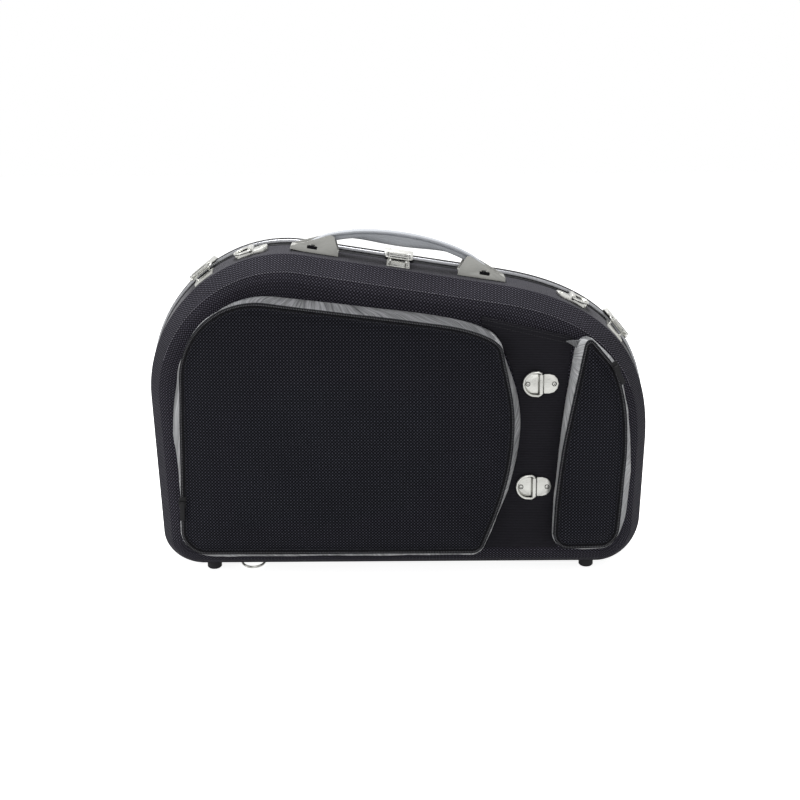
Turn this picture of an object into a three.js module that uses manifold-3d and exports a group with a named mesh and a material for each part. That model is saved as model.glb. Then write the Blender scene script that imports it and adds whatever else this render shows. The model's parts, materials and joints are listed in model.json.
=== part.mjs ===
// French horn case: two hard half shells with aluminium rims, joined by hinges along the bottom
// and held shut by three draw latches, with zipped pockets, strap rings and a lifting handle.
// Millimetres. +X is the right of the front view, +Y points to the back, +Z is up.
// The origin is on the floor, under the middle of the closed case.
import * as THREE from 'three';
import { mergeVertices } from 'three/addons/utils/BufferGeometryUtils.js';
import Module from 'manifold-3d';

const wasm = await Module();
wasm.setup();

// Driving dimensions

const gap = 0.3; // clearance between pieces that touch on the real case
const overrun = 6; // how far a cutting solid runs past what it cuts

const shell = {
  width: 604,
  height: 395,
  lift: 8, // floor to the bottom wall at the parting plane
  wall: 4,
  draftDegrees: 4,
  wallDepth: 55, // parting plane to the sharp ridge
  ridgeInset: 15, // sharp ridge to soft ridge, across the chamfer
  ridgeDepth: 85,
  shoulderInset: 10, // soft ridge to the middle of the face's rounded border
  shoulderDepth: 92,
  faceInset: 26, // soft ridge to the flat of the face
  faceDepth: 95,
};

const rim = {
  proud: 3.5, // how far the band stands out of the wall
  depth: 8, // band width on one half
  flange: 4, // thickness of the flange that closes the shell's edge
  seam: 0.15, // half of the parting gap
  bevel: 0.8,
  ribWidth: 1.8,
  ribHeight: 1.7,
  ribInset: 0.6,
};

const liner = {
  border: 10, // foam left between the shell and a recess
  bellBorder: 6, // foam left beside the bell, where the outline is tightest
  bellRadius: 154, // a horn's detached bell is about 305 mm across
  bellFloorRadius: 118,
  bellDepth: 78,
  hornDepth: 64,
  webWidth: 14, // foam between two recesses
  accessoryHeight: 44,
  accessoryDepth: 58,
  trayRounding: 0.3, // share of the tray's height
};

const pocket = {
  rise: 21, // face of the shell to the front edge of the gusset
  gussetWall: 2.4,
  zipWidth: 2,
  zipDepth: 2.6,
  panelEdge: 2.4, // thickness of the panel at its edge
  hem: 6, // flat edge of the panel, beside the zip
};

// The pockets share the face: their places come from the shell, the margins and the small one
const pocketMargins = { left: 45, right: 38, between: 36 };
const largeMargins = { below: 39, above: 40 };
const smallMargins = { below: 44, above: 89 };
const smallPocket = {
  bottom: shell.lift + smallMargins.below,
  width: 80,
  height: shell.height - smallMargins.below - smallMargins.above,
  crown: 6,
  border: 26,
};
smallPocket.left = shell.width / 2 - pocketMargins.right - smallPocket.width;
const largePocket = {
  left: pocketMargins.left - shell.width / 2,
  bottom: shell.lift + largeMargins.below,
  height: shell.height - largeMargins.below - largeMargins.above,
  crown: 9,
  border: 70,
};
largePocket.width = smallPocket.left - pocketMargins.between - largePocket.left;

// How far each gusset spreads past its panel where it stands on the shell
const largeFlare = { left: 14, right: -5, below: 16, above: 0 };
const smallFlare = { left: 0, right: 11, below: 12, above: 2 };

const strapMargins = { below: 35, aboveLeft: 76, aboveRight: 102, left: 88, right: 22 };
const strapPanel = {
  thickness: 1.5,
  bottom: shell.lift + strapMargins.below,
  left: smallPocket.left - strapMargins.left,
  right: smallPocket.left + strapMargins.right,
  topLeft: shell.lift + shell.height - strapMargins.aboveLeft,
  topRight: shell.lift + shell.height - strapMargins.aboveRight,
};

const slider = {
  length: 13,
  width: 8,
  plate: 1,
  lugLength: 4,
  pinRadius: 0.6,
  boreRadius: 0.8,
  eyeRadius: 1.4,
  pullLength: 22,
  pullWidth: 5.4,
  pullThickness: 1.2,
  parked: { large: 0.2, small: 0.836 }, // where each slider is, as a share of its panel's height
};

const foot = {
  radius: 9,
  soleRadius: 7,
  bevel: 2,
  spread: shell.width * 0.77,
  depth: shell.wallDepth * 0.8,
  segments: 16,
};

const hinge = {
  spread: shell.width * 0.38,
  length: 50,
  knuckleRadius: 3,
  pinRadius: 1.2,
  boreRadius: 1.5,
  leafWidth: 24,
  leafThickness: 1.5,
  axisDrop: 3.9, // wall plane to the hinge axis, outside the rim's band
  middleLength: 24,
};

// Each latch has its keeper on the back half, reaching over the rim to a hook, and its base, lever
// and wire loop on the front half. Heights are above the wall, depths from the parting plane.
const latch = {
  plate: 1.2,
  keeperWidth: 35,
  keeperFoot: 18, // length that is fastened behind the rim
  keeperHeight: 8.5,
  keeperReach: 17,
  hookWidth: 16,
  hookDepth: 21, // where the wire lies behind the hook
  hookHeight: 3,
  hookGap: 0.4,
  wireRadius: 1.2,
  loopWidth: 25.6,
  loopCorner: 2.6,
  pivotDepth: 34,
  pivotHeight: 5.2,
  loopOffset: 6.5, // lever pivot to loop pivot
  overCentre: 1.6,
  leverWidth: 19,
  leverStart: 2.5, // lever pivot to the near edge of the lever's plate
  leverLength: 14,
  leverBend: 0.75, // share of the lever's length before its lip turns up
  leverHeight: 7.6,
  lipRise: 0.8,
  flangeRadius: 2.3,
  baseWidth: 21,
  baseStart: 26,
  baseLength: 26,
  earRadius: 1.6,
  stubRadius: 1.1,
  stubGap: 0.35,
};

const strapMount = {
  length: 41,
  width: 23,
  thickness: 1.5,
  humpHeight: 6.4,
  humpWidth: 7.5,
  humpShoulder: 0.8, // share of the bridge's half width where it rounds over, and its height there
  humpTop: 0.45, // share of the bridge's half width that is flat
  cornerShare: 0.46, // of the plate's width
  wireRadius: 1.5,
  barHeight: 3.4, // seat to the middle of the ring's bar
  barLength: 28,
  ringWidth: 31.5,
  ringReach: 22,
  screwRadius: 2.8,
  screwHeight: 1,
  screwSpread: 31,
};

const handle = {
  pinSpread: 214,
  pinHeight: 5,
  pinRadius: 1.2,
  pinHeadRadius: 2.2,
  pinHeadThickness: 0.9,
  pinTravel: 6,
  rise: 30.5, // pin to the strap's middle line, at the top of the arch
  depth: 24, // parting plane to the middle of the strap
  strapWidth: 22,
  strapThickness: 3,
  eyeRadius: 3,
  boreRadius: 1.5,
  gripWidth: 19,
  gripLength: 160,
  gripThickness: 15,
  gripEnd: 2.2,
  gripCurve: 1.6, // how full the grip's underside is; 1 is straight from middle to ends
  bracketOut: 20, // pin to the far end of a bracket
  bracketPeak: 23, // pin to the bracket's peak, towards the grip
  bracketIn: 32, // pin to the near end
  bracketHeight: 20,
  bracketSlope: 0.93, // share of the height left halfway from the peak to the near end
  cheekThickness: 1.5,
  cheekGap: 23,
  baseThickness: 1.5,
  slotClearance: 0.3,
};

// Places along the outline, as shares of the shell's half width
const latchShares = { left: -0.77, centre: 0, right: 0.865 };
const topRingShares = { left: -0.58, right: 0.69 };
const frontRings = {
  upper: { x: smallPocket.left - pocketMargins.between / 2, z: shell.lift + shell.height * 0.605 },
  lower: { x: smallPocket.left - (pocketMargins.between * 2) / 3, z: shell.lift + shell.height * 0.286 },
};
const bottomRing = { x: -shell.width * 0.305, depth: shell.wallDepth * 0.545, swingDegrees: 16 };

const backReach = shell.faceDepth;
const frontReach = shell.faceDepth + pocket.rise + largePocket.crown;
const partingY = (frontReach - backReach) / 2;
const draft = Math.tan(THREE.MathUtils.degToRad(shell.draftDegrees));

// Outlines seen from the front. Each corner is [x, z, cut before, cut after, pull before, pull
// after, steps]: a polygon corner rounded by a Bezier curve that starts and ends at the cuts. x and
// z are shares of width and height from the lower left, cuts are shares of height, and pulls say how
// far the curve's handles reach towards the corner. Corners run clockwise from the lower left.

const shellShares = [
  [0.013, 0, 0.13, 0.11, 0.55, 0.55, 8],
  [-0.016, 1.075, 0.53, 0.51, 0.5, 0.5, 10],
  [1.01, 0.827, 0.48, 0.43, 0.65, 0.7, 10],
  [0.992, 0, 0.15, 0.14, 0.55, 0.55, 8],
];

const largePanelShares = [
  [-0.001, 0.001, 0.088, 0.088, 0.55, 0.55, 6],
  [0.022, 0.993, 0.31, 0.308, 0.545, 0.54, 9],
  [0.911, 0.845, 0.23, 0.067, 0.6, 0.6, 7],
  [0.985, 0.402, 0.222, 0.298, 0.52, 0.71, 4],
  [0.867, -0.001, 0.029, 0.028, 0.57, 0.57, 6],
];

const largeGussetShares = [
  [0.023, -0.004, 0.174, 0.112, 0.54, 0.54, 6],
  [-0.018, 1.017, 0.582, 0.414, 0.58, 0.58, 9],
  [0.911, 0.878, 0.3, 0.06, 0.59, 0.6, 7],
  [1.046, 0.495, 0.236, 0.353, 0.53, 0.72, 4],
  [0.888, 0.004, 0.032, 0.04, 0.55, 0.55, 6],
];

const smallPanelShares = [
  [0.015, -0.002, 0.06, 0.069, 0.55, 0.55, 5],
  [0.05, 0.336, 0.194, 0.188, 0.5, 0.5, 3],
  [0.432, 0.987, 0.033, 0.03, 0.55, 0.55, 6],
  [1.083, 0.735, 0.157, 0.344, 0.56, 0.61, 4],
  [0.901, 0.004, 0.084, 0.064, 0.55, 0.55, 5],
];

const smallGussetShares = [
  [0.016, -0.006, 0.056, 0.065, 0.55, 0.55, 5],
  [0.02, 0.386, 0.15, 0.294, 0.5, 0.5, 3],
  [0.234, 1.048, 0.116, 0.107, 0.54, 0.54, 6],
  [1.034, 0.824, 0.138, 0.352, 0.56, 0.61, 4],
  [0.953, 0.01, 0.222, 0.083, 0.53, 0.54, 5],
];

const crownShares = [[0, 0], [0.08, 0.28], [0.25, 0.62], [0.55, 0.9], [1, 1]]; // hem to flat, up

const leastCutShare = 0.15; // how much of a corner's rounding is left when its outline is far inset
const fullEdgeShare = 0.97; // how much of an edge its two roundings can take

// Materials

function finish(color, metalness, roughness) {
  return () => new THREE.MeshStandardMaterial({ color, metalness, roughness });
}

const shellCloth = finish(0x211f26, 0, 0.85);
const pocketMesh = finish(0x0d0d12, 0, 0.9);
const gussetCloth = finish(0x55575a, 0, 0.8);
const nylon = finish(0x141418, 0, 0.7);
const aluminium = finish(0xb4b6ba, 0.9, 0.35);
const nickel = finish(0xc8c7c2, 1, 0.3);
const rubber = finish(0x101012, 0, 0.75);
const handleRubber = finish(0x868b8f, 0, 0.6);
const plush = finish(0x1b1d2a, 0, 1);
const zipPlastic = finish(0x0a0a0c, 0, 0.5);

// Solids

function toSolid(source) {
  const geometry = source.clone();
  geometry.deleteAttribute('normal');
  geometry.deleteAttribute('uv');
  const merged = mergeVertices(geometry);
  const mesh = new wasm.Mesh({
    numProp: 3,
    vertProperties: new Float32Array(merged.getAttribute('position').array),
    triVerts: new Uint32Array(merged.getIndex().array),
  });
  return new wasm.Manifold(mesh);
}

function toGeometry(solid) {
  const mesh = solid.getMesh();
  const geometry = new THREE.BufferGeometry();
  geometry.setAttribute('position', new THREE.Float32BufferAttribute(mesh.vertProperties, 3));
  geometry.setIndex(Array.from(mesh.triVerts));
  geometry.computeVertexNormals();
  return geometry;
}

// Skins rings of equally many points, with flat ends, or joined end to start when looped
function loft(rings, looped = false) {
  const count = rings[0].length;
  const positions = rings.flat().flatMap((point) => [point.x, point.y, point.z]);
  const indices = [];
  const spans = looped ? rings.length : rings.length - 1;
  for (let span = 0; span < spans; span += 1) {
    const near = span * count;
    const far = ((span + 1) % rings.length) * count;
    for (let side = 0; side < count; side += 1) {
      const next = (side + 1) % count;
      indices.push(near + side, far + side, far + next);
      indices.push(near + side, far + next, near + next);
    }
  }
  if (!looped) {
    const last = (rings.length - 1) * count;
    for (const [a, b, c] of endFaces(rings[0])) {
      indices.push(a, b, c);
    }
    for (const [a, b, c] of endFaces(rings[rings.length - 1])) {
      indices.push(last + a, last + c, last + b);
    }
  }
  const geometry = new THREE.BufferGeometry();
  geometry.setAttribute('position', new THREE.Float32BufferAttribute(positions, 3));
  geometry.setIndex(indices);
  return toSolid(signedVolume(geometry) > 0 ? geometry : turnedOver(geometry));
}

// Triangles of a flat ring, wound as seen along the ring's own normal
function endFaces(ring) {
  const normal = new THREE.Vector3();
  ring.forEach((point, index) => {
    normal.add(new THREE.Vector3().crossVectors(point, ring[(index + 1) % ring.length]));
  });
  const axes = ['x', 'y', 'z'];
  const drop = axes.reduce((best, axis) => (Math.abs(normal[axis]) > Math.abs(normal[best]) ? axis : best));
  const [first, second] = axes.filter((axis) => axis !== drop);
  const flat = ring.map((point) => new THREE.Vector2(point[first], point[second]));
  const faces = THREE.ShapeUtils.triangulateShape(flat, []);
  return faces.map((face) => (followsRing(face) ? face : [face[0], face[2], face[1]]));
}

function followsRing([a, b, c]) {
  const rises = [a < b, b < c, c < a].filter(Boolean).length;
  return rises === 2;
}

function signedVolume(geometry) {
  const points = geometry.getAttribute('position');
  const index = geometry.getIndex().array;
  const corner = (place) => new THREE.Vector3().fromBufferAttribute(points, index[place]);
  let volume = 0;
  for (let face = 0; face < index.length; face += 3) {
    volume += corner(face).dot(corner(face + 1).cross(corner(face + 2))) / 6;
  }
  return volume;
}

function turnedOver(geometry) {
  const index = Array.from(geometry.getIndex().array);
  for (let face = 0; face < index.length; face += 3) {
    [index[face + 1], index[face + 2]] = [index[face + 2], index[face + 1]];
  }
  geometry.setIndex(index);
  return geometry;
}

function box([x0, x1], [y0, y1], [z0, z1]) {
  const geometry = new THREE.BoxGeometry(x1 - x0, y1 - y0, z1 - z0);
  return toSolid(geometry.translate((x0 + x1) / 2, (y0 + y1) / 2, (z0 + z1) / 2));
}

// A round bar along X, from x0 to x1, centred on (y, z)
function barX(radius, [x0, x1], y, z, sides = 12) {
  const geometry = new THREE.CylinderGeometry(radius, radius, x1 - x0, sides);
  return toSolid(geometry.rotateZ(Math.PI / 2).translate((x0 + x1) / 2, y, z));
}

function barY(radius, [y0, y1], x, z, sides = 12) {
  const geometry = new THREE.CylinderGeometry(radius, radius, y1 - y0, sides);
  return toSolid(geometry.translate(x, (y0 + y1) / 2, z));
}

function barZ(radius, [z0, z1], x, y, sides = 12) {
  const geometry = new THREE.CylinderGeometry(radius, radius, z1 - z0, sides);
  return toSolid(geometry.rotateX(Math.PI / 2).translate(x, y, (z0 + z1) / 2));
}

// Points [a, b] drawn in the XZ plane and given a width along Y
function slabY(points, [y0, y1]) {
  const ring = (y) => points.map(([x, z]) => new THREE.Vector3(x, y, z));
  return loft([ring(y0), ring(y1)]);
}

// Points [a, b] drawn in the YZ plane and given a width along X
function slabX(points, [x0, x1]) {
  const ring = (x) => points.map(([y, z]) => new THREE.Vector3(x, y, z));
  return loft([ring(x0), ring(x1)]);
}

// A closed loop of wire through flat [x, y] points, with mitred joints
function wireLoop(points, radius, sides = 6) {
  const places = points.map(([x, y]) => new THREE.Vector2(x, y));
  const rings = places.map((place, index) => {
    const before = place.clone().sub(places[(index + places.length - 1) % places.length]).normalize();
    const after = places[(index + 1) % places.length].clone().sub(place).normalize();
    const along = before.clone().add(after).normalize();
    const stretch = 1 / along.dot(after);
    return Array.from({ length: sides }, (_, side) => {
      const angle = (2 * Math.PI * side) / sides;
      const across = radius * stretch * Math.cos(angle);
      const height = radius * Math.sin(angle);
      return new THREE.Vector3(place.x + along.y * across, place.y - along.x * across, height);
    });
  });
  return loft(rings, true);
}

// Outlines

function makeOutline(shares, { left, bottom, width, height }) {
  const corners = shares.map(([x, z]) => new THREE.Vector2(left + x * width, bottom + z * height));
  return shares.map(([, , cutBefore, cutAfter, pullBefore, pullAfter, steps], index) => {
    const corner = corners[index];
    const before = corners[(index + corners.length - 1) % corners.length].clone().sub(corner).normalize();
    const after = corners[(index + 1) % corners.length].clone().sub(corner).normalize();
    const opening = Math.acos(before.dot(after));
    return {
      corner, before, after, opening, cutBefore: cutBefore * height, cutAfter: cutAfter * height,
      pullBefore, pullAfter, steps,
    };
  });
}

// The points of an outline moved inwards by a distance, always equally many
function inset(outline, distance) {
  const places = outline.map(({ corner, before, after, opening }) => {
    return before.clone().add(after).multiplyScalar(distance / Math.sin(opening)).add(corner);
  });
  const cuts = outline.map(({ cutBefore, cutAfter, opening }) => [cutBefore, cutAfter].map((cut) => {
    return Math.max(cut - distance / Math.tan(opening / 2), cut * leastCutShare);
  }));
  places.forEach((place, index) => {
    const next = (index + 1) % places.length;
    const room = place.distanceTo(places[next]) * fullEdgeShare;
    const fit = Math.min(1, room / (cuts[index][1] + cuts[next][0]));
    cuts[index][1] *= fit;
    cuts[next][0] *= fit;
  });
  return outline.flatMap(({ before, after, pullBefore, pullAfter, steps }, index) => {
    const towards = (way, reach) => places[index].clone().addScaledVector(way, reach);
    const [cutBefore, cutAfter] = cuts[index];
    const curve = new THREE.CubicBezierCurve(
      towards(before, cutBefore),
      towards(before, cutBefore * (1 - pullBefore)),
      towards(after, cutAfter * (1 - pullAfter)),
      towards(after, cutAfter),
    );
    return curve.getPoints(steps);
  });
}

// The outline placed at a depth from the parting plane; side is -1 at the front, 1 at the back
function ringAt(points, depth, side) {
  return points.map((point) => new THREE.Vector3(point.x, partingY + side * depth, point.y));
}

function flared(sizes, flare) {
  return {
    left: sizes.left - flare.left,
    bottom: sizes.bottom - flare.below,
    width: sizes.width + flare.left + flare.right,
    height: sizes.height + flare.below + flare.above,
  };
}

const shellBox = { left: 0, bottom: shell.lift, width: shell.width, height: shell.height };
const reachesX = inset(makeOutline(shellShares, shellBox), 0).map((point) => point.x);
const shellMiddle = (Math.min(...reachesX) + Math.max(...reachesX)) / 2;
const shellOutline = makeOutline(shellShares, { ...shellBox, left: -shellMiddle });
const largePanelOutline = makeOutline(largePanelShares, largePocket);
const smallPanelOutline = makeOutline(smallPanelShares, smallPocket);
const largeGussetOutline = makeOutline(largeGussetShares, flared(largePocket, largeFlare));
const smallGussetOutline = makeOutline(smallGussetShares, flared(smallPocket, smallFlare));
const shellPoints = inset(shellOutline, 0);

// Profile of a half shell as [inset, depth] from its edge to the flat of its face
const edgeDepth = rim.flange + gap;
const chamferInset = shell.wallDepth * draft + shell.ridgeInset;
const shellProfile = [
  [edgeDepth * draft, edgeDepth],
  [shell.wallDepth * draft, shell.wallDepth],
  [chamferInset, shell.ridgeDepth],
  [chamferInset + shell.shoulderInset, shell.shoulderDepth],
  [chamferInset + shell.faceInset, shell.faceDepth],
];

// The profile moved towards the inside of the shell; a negative distance moves it out
function movedProfile(profile, distance) {
  const ends = [...profile, [profile.at(-1)[0] + shell.faceInset, profile.at(-1)[1]]];
  return profile.map(([across, depth], index) => {
    const here = new THREE.Vector2(across, depth);
    const after = new THREE.Vector2(...ends[index + 1]).sub(here).normalize();
    const before = index ? here.clone().sub(new THREE.Vector2(...profile[index - 1])).normalize() : after;
    const normal = new THREE.Vector2(before.y + after.y, -before.x - after.x).normalize();
    const stretch = 1 / normal.dot(new THREE.Vector2(after.y, -after.x));
    return [across + normal.x * distance * stretch, depth + normal.y * distance * stretch];
  });
}

function profileRings(profile, side) {
  return profile.map(([across, depth]) => ringAt(inset(shellOutline, across), depth, side));
}

// Everything inside the shell's outer skin, grown by a margin: pieces that sit on it are cut by it
function envelope(side, margin) {
  const grown = movedProfile(shellProfile, -margin);
  const edge = ringAt(inset(shellOutline, -margin), -overrun, side);
  return loft([edge, ...profileRings(grown, side)]);
}

const frontSeat = envelope(-1, gap);
const backSeat = envelope(1, gap);
const panelSkin = envelope(-1, gap + strapPanel.thickness);
const panelSeat = envelope(-1, 2 * gap + strapPanel.thickness);

// Where a line x = const meets the upper side of the outline, with the way along it to the right
function topOfOutline(x) {
  for (let index = 0; index < shellPoints.length; index += 1) {
    const here = shellPoints[index];
    const next = shellPoints[(index + 1) % shellPoints.length];
    if (next.x > here.x && here.x <= x && x < next.x) {
      const along = next.clone().sub(here);
      return { z: here.y + (along.y * (x - here.x)) / along.x, slope: Math.atan2(along.y, along.x) };
    }
  }
  throw new Error('x lies outside the outline');
}

// Scene

const hornCase = new THREE.Group();

function addMesh(parent, name, solid, material) {
  const mesh = new THREE.Mesh(toGeometry(solid), material());
  mesh.name = name;
  parent.add(mesh);
}

// A group whose x and z axes point along two given directions
function addFrame(origin, xWay, zWay) {
  const group = new THREE.Group();
  const yWay = new THREE.Vector3().crossVectors(zWay, xWay);
  group.quaternion.setFromRotationMatrix(new THREE.Matrix4().makeBasis(xWay, yWay, zWay));
  group.position.copy(origin);
  group.updateMatrixWorld(true);
  hornCase.add(group);
  return group;
}

// A solid of the case seen from inside a group
function seenFrom(group, solid) {
  return toSolid(toGeometry(solid).applyMatrix4(group.matrixWorld.clone().invert()));
}

// A group on the top of the outline: x along the wall to the right, y to the back, z outwards
function addTopFrame(x) {
  const { z, slope } = topOfOutline(x);
  const along = new THREE.Vector3(Math.cos(slope), 0, Math.sin(slope));
  const out = new THREE.Vector3(-Math.sin(slope), 0, Math.cos(slope));
  return addFrame(new THREE.Vector3(x, partingY, z), along, out);
}

// Half shells

function addShell(name, side) {
  const inner = movedProfile(shellProfile, shell.wall);
  inner[0][1] = edgeDepth;
  const rings = [...profileRings(shellProfile, side).reverse(), ...profileRings(inner, side)];
  addMesh(hornCase, name, loft(rings), shellCloth);
}

// The rim's section as [inset, depth]: a band outside the wall and a flange over the shell's edge
function rimSection(isFront) {
  const inside = shell.wall + gap;
  const ribEnd = rim.ribInset + rim.ribWidth;
  const tongue = isFront
    ? [[rim.ribInset - gap, rim.seam], [rim.ribInset - gap, rim.ribHeight + 2 * gap],
      [ribEnd + gap, rim.ribHeight + 2 * gap], [ribEnd + gap, rim.seam]]
    : [[rim.ribInset, rim.seam], [rim.ribInset, -rim.ribHeight],
      [ribEnd, -rim.ribHeight], [ribEnd, rim.seam]];
  return [
    [-rim.proud, rim.seam], ...tongue, [inside, rim.seam], [inside, rim.flange],
    [-gap, rim.flange], [-gap, rim.depth], [rim.bevel - rim.proud, rim.depth],
    [-rim.proud, rim.depth - rim.bevel],
  ];
}

function addRim(name, side) {
  const section = rimSection(side < 0);
  const rings = section.map(([across, depth]) => ringAt(inset(shellOutline, across), depth, side));
  const bottom = shell.lift;
  const reach = hinge.length / 2 + 2 * gap;
  const notches = [-hinge.spread / 2, hinge.spread / 2].map((x) => box(
    [x - reach, x + reach], [partingY - rim.depth - gap, partingY + rim.depth + gap],
    [bottom - rim.proud - gap, bottom + gap],
  ));
  addMesh(hornCase, name, loft(rings, true).subtract(notches[0]).subtract(notches[1]), aluminium);
}

// Foam liners with recesses for the detached bell, the horn's body and, at the back, small things

const bellEdge = shell.wall + liner.bellBorder + liner.bellRadius;
const bell = {
  x: Math.min(...shellPoints.map((point) => point.x)) + bellEdge,
  z: shell.lift + shell.height - bellEdge,
};

const hornRecess = (() => {
  const left = bell.x + liner.bellRadius + liner.webWidth;
  const border = shell.wall + 2 * liner.border;
  const right = shell.width / 2 - border;
  const bottom = shell.lift + border;
  return { left, bottom, width: right - left, height: shell.lift + shell.height - border - bottom };
})();

const hornRecessShares = [
  [0, 0, 0.12, 0.12, 0.55, 0.55, 5],
  [0, 0.93, 0.14, 0.14, 0.55, 0.55, 5],
  [1, 0.82, 0.5, 0.45, 0.6, 0.6, 6],
  [1, 0, 0.18, 0.18, 0.55, 0.55, 5],
];

function addLiner(name, side) {
  const profile = movedProfile(shellProfile, shell.wall + gap);
  const edge = [profile[0][0], rim.seam + gap];
  const block = loft(profileRings([edge, ...profile.slice(1)], side));
  const y = (depth) => partingY + side * depth;
  const ends = (depth) => [y(-overrun), y(depth)].sort((a, b) => a - b);
  const bellCone = new THREE.CylinderGeometry(liner.bellRadius, liner.bellFloorRadius, liner.bellDepth, 40);
  if (side > 0) {
    bellCone.rotateX(Math.PI);
  }
  bellCone.translate(bell.x, y(liner.bellDepth / 2), bell.z);
  const hornPoints = inset(makeOutline(hornRecessShares, hornRecess), 0).map((point) => [point.x, point.y]);
  let foam = block.subtract(toSolid(bellCone)).subtract(slabY(hornPoints, ends(liner.hornDepth)));
  if (side > 0) {
    const floor = shell.lift + shell.wall + 2 * liner.border;
    const left = -shell.width / 2 + shell.wall + 3 * liner.border;
    const width = bell.x + liner.bellRadius - left;
    const tray = { left, bottom: floor, width, height: liner.accessoryHeight };
    const rounding = liner.trayRounding;
    const trayShares = [[0, 0], [0, 1], [1, 1], [1, 0]]
      .map((place) => [...place, rounding, rounding, 0.55, 0.55, 4]);
    const trayPoints = inset(makeOutline(trayShares, tray), 0).map((point) => [point.x, point.y]);
    foam = foam.subtract(slabY(trayPoints, ends(liner.accessoryDepth)));
  }
  addMesh(hornCase, name, foam, plush);
}

// Pockets: a gusset standing on the shell, a zip along its front edge and a crowned panel

const gussetFoot = shell.faceDepth + strapPanel.thickness + 2 * gap;
const gussetFront = shell.faceDepth + pocket.rise;
const gussetNeck = gussetFront - pocket.zipDepth - gap;

function addPocket(name, sizes, panelOutline, gussetOutline) {
  const front = (across, depth) => ringAt(inset(panelOutline, across), depth, -1);
  const base = (across, depth) => ringAt(inset(gussetOutline, across), depth, -1);
  const zipOuter = -gap - pocket.zipWidth;
  const gussetInner = zipOuter - gap;
  const gussetOuter = gussetInner - pocket.gussetWall;
  const gusset = loft([
    base(0, shell.wallDepth), base(0, gussetFoot),
    front(gussetOuter, gussetNeck), front(gussetOuter, gussetFront),
    front(gussetInner, gussetFront), front(gussetInner, gussetNeck), base(pocket.gussetWall, gussetFoot),
    base(pocket.gussetWall, shell.wallDepth),
  ], true);
  addMesh(hornCase, `${name}_pocket_gusset`, gusset.subtract(frontSeat), gussetCloth);

  const zip = loft([
    front(zipOuter, gussetFront - pocket.zipDepth), front(zipOuter, gussetFront),
    front(-gap, gussetFront), front(-gap, gussetFront - pocket.zipDepth),
  ], true);
  addMesh(hornCase, `${name}_pocket_zip`, zip, zipPlastic);

  const rise = sizes.border - pocket.hem;
  const panel = loft([
    front(sizes.border, gussetFront - pocket.panelEdge),
    front(0, gussetFront - pocket.panelEdge),
    front(0, gussetFront),
    ...crownShares.map(([across, up]) => front(pocket.hem + across * rise, gussetFront + up * sizes.crown)),
  ]);
  addMesh(hornCase, `${name}_pocket_panel`, panel, pocketMesh);
}

function prismOf(points, depthFrom, depthTo) {
  return loft([ringAt(points, depthFrom, -1), ringAt(points, depthTo, -1)]);
}

// The nylon sheet between the pockets, laid over the face and chamfer of the front shell
function addStrapPanel() {
  const { left, right, bottom, topLeft, topRight } = strapPanel;
  const points = [[left, bottom], [left, topLeft], [right, topRight], [right, bottom]]
    .map(([x, z]) => new THREE.Vector2(x, z));
  const around = (outline) => prismOf(inset(outline, -gap), shell.wallDepth - overrun, gussetFront + overrun);
  const sheet = prismOf(points, shell.wallDepth, gussetFront)
    .intersect(panelSkin)
    .subtract(frontSeat)
    .subtract(around(largeGussetOutline))
    .subtract(around(smallGussetOutline));
  const pieces = sheet.decompose().sort((a, b) => b.volume() - a.volume());
  addMesh(hornCase, 'strap_panel', pieces[0], nylon);
}

// Where a panel's zip crosses a share of its height, on the left (-1) or right (1), and its lean
function seamAt(outline, sizes, share, side) {
  const z = sizes.bottom + share * sizes.height;
  const points = inset(outline, -gap - pocket.zipWidth / 2);
  const crossings = points.flatMap((here, index) => {
    const along = points[(index + 1) % points.length].clone().sub(here);
    const reach = (z - here.y) / along.y;
    return reach >= 0 && reach < 1
      ? [{ x: here.x + along.x * reach, z, lean: -Math.atan(along.x / along.y) }]
      : [];
  });
  return crossings.sort((a, b) => side * (b.x - a.x))[0];
}

// Zip slider and pull tab: x across the seam, y up along it, z outwards
function addSlider(name, { x, z, lean }) {
  const up = new THREE.Vector3(-Math.sin(lean), 0, Math.cos(lean));
  const out = new THREE.Vector3(0, -1, 0);
  const across = new THREE.Vector3().crossVectors(up, out);
  const group = addFrame(new THREE.Vector3(x, partingY - gussetFront - gap, z), across, out);
  const half = slider.width / 2;
  const inner = slider.pullWidth / 2 + gap;
  const eye = slider.plate + gap + slider.eyeRadius;
  const lugTop = eye + slider.pinRadius + gap;
  let body = box([-half, half], [-slider.length / 2, slider.length / 2], [0, slider.plate]);
  for (const places of [[-half, -inner], [inner, half]]) {
    body = body.add(box(places, [-slider.lugLength / 2, slider.lugLength / 2], [0, lugTop]));
  }
  body = body.add(barX(slider.pinRadius, [-half, half], 0, eye, 8));
  addMesh(group, `${name}_zip_slider`, body, zipPlastic);

  const pullReach = [-slider.pullWidth / 2, slider.pullWidth / 2];
  const thick = slider.pullThickness / 2;
  const tab = box(pullReach, [-slider.pullLength, 0], [eye - thick, eye + thick]);
  const bore = barX(slider.boreRadius, [-slider.width, slider.width], 0, eye, 8);
  const pull = tab.add(barX(slider.eyeRadius, pullReach, 0, eye, 10)).subtract(bore);
  addMesh(group, `${name}_zip_pull`, pull, zipPlastic);
}

// Strap mounts: a plate with a raised bridge, and a D ring whose bar turns under the bridge.
// In each group x is the way that the ring lies, y runs along the bar and z is outwards.

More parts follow.
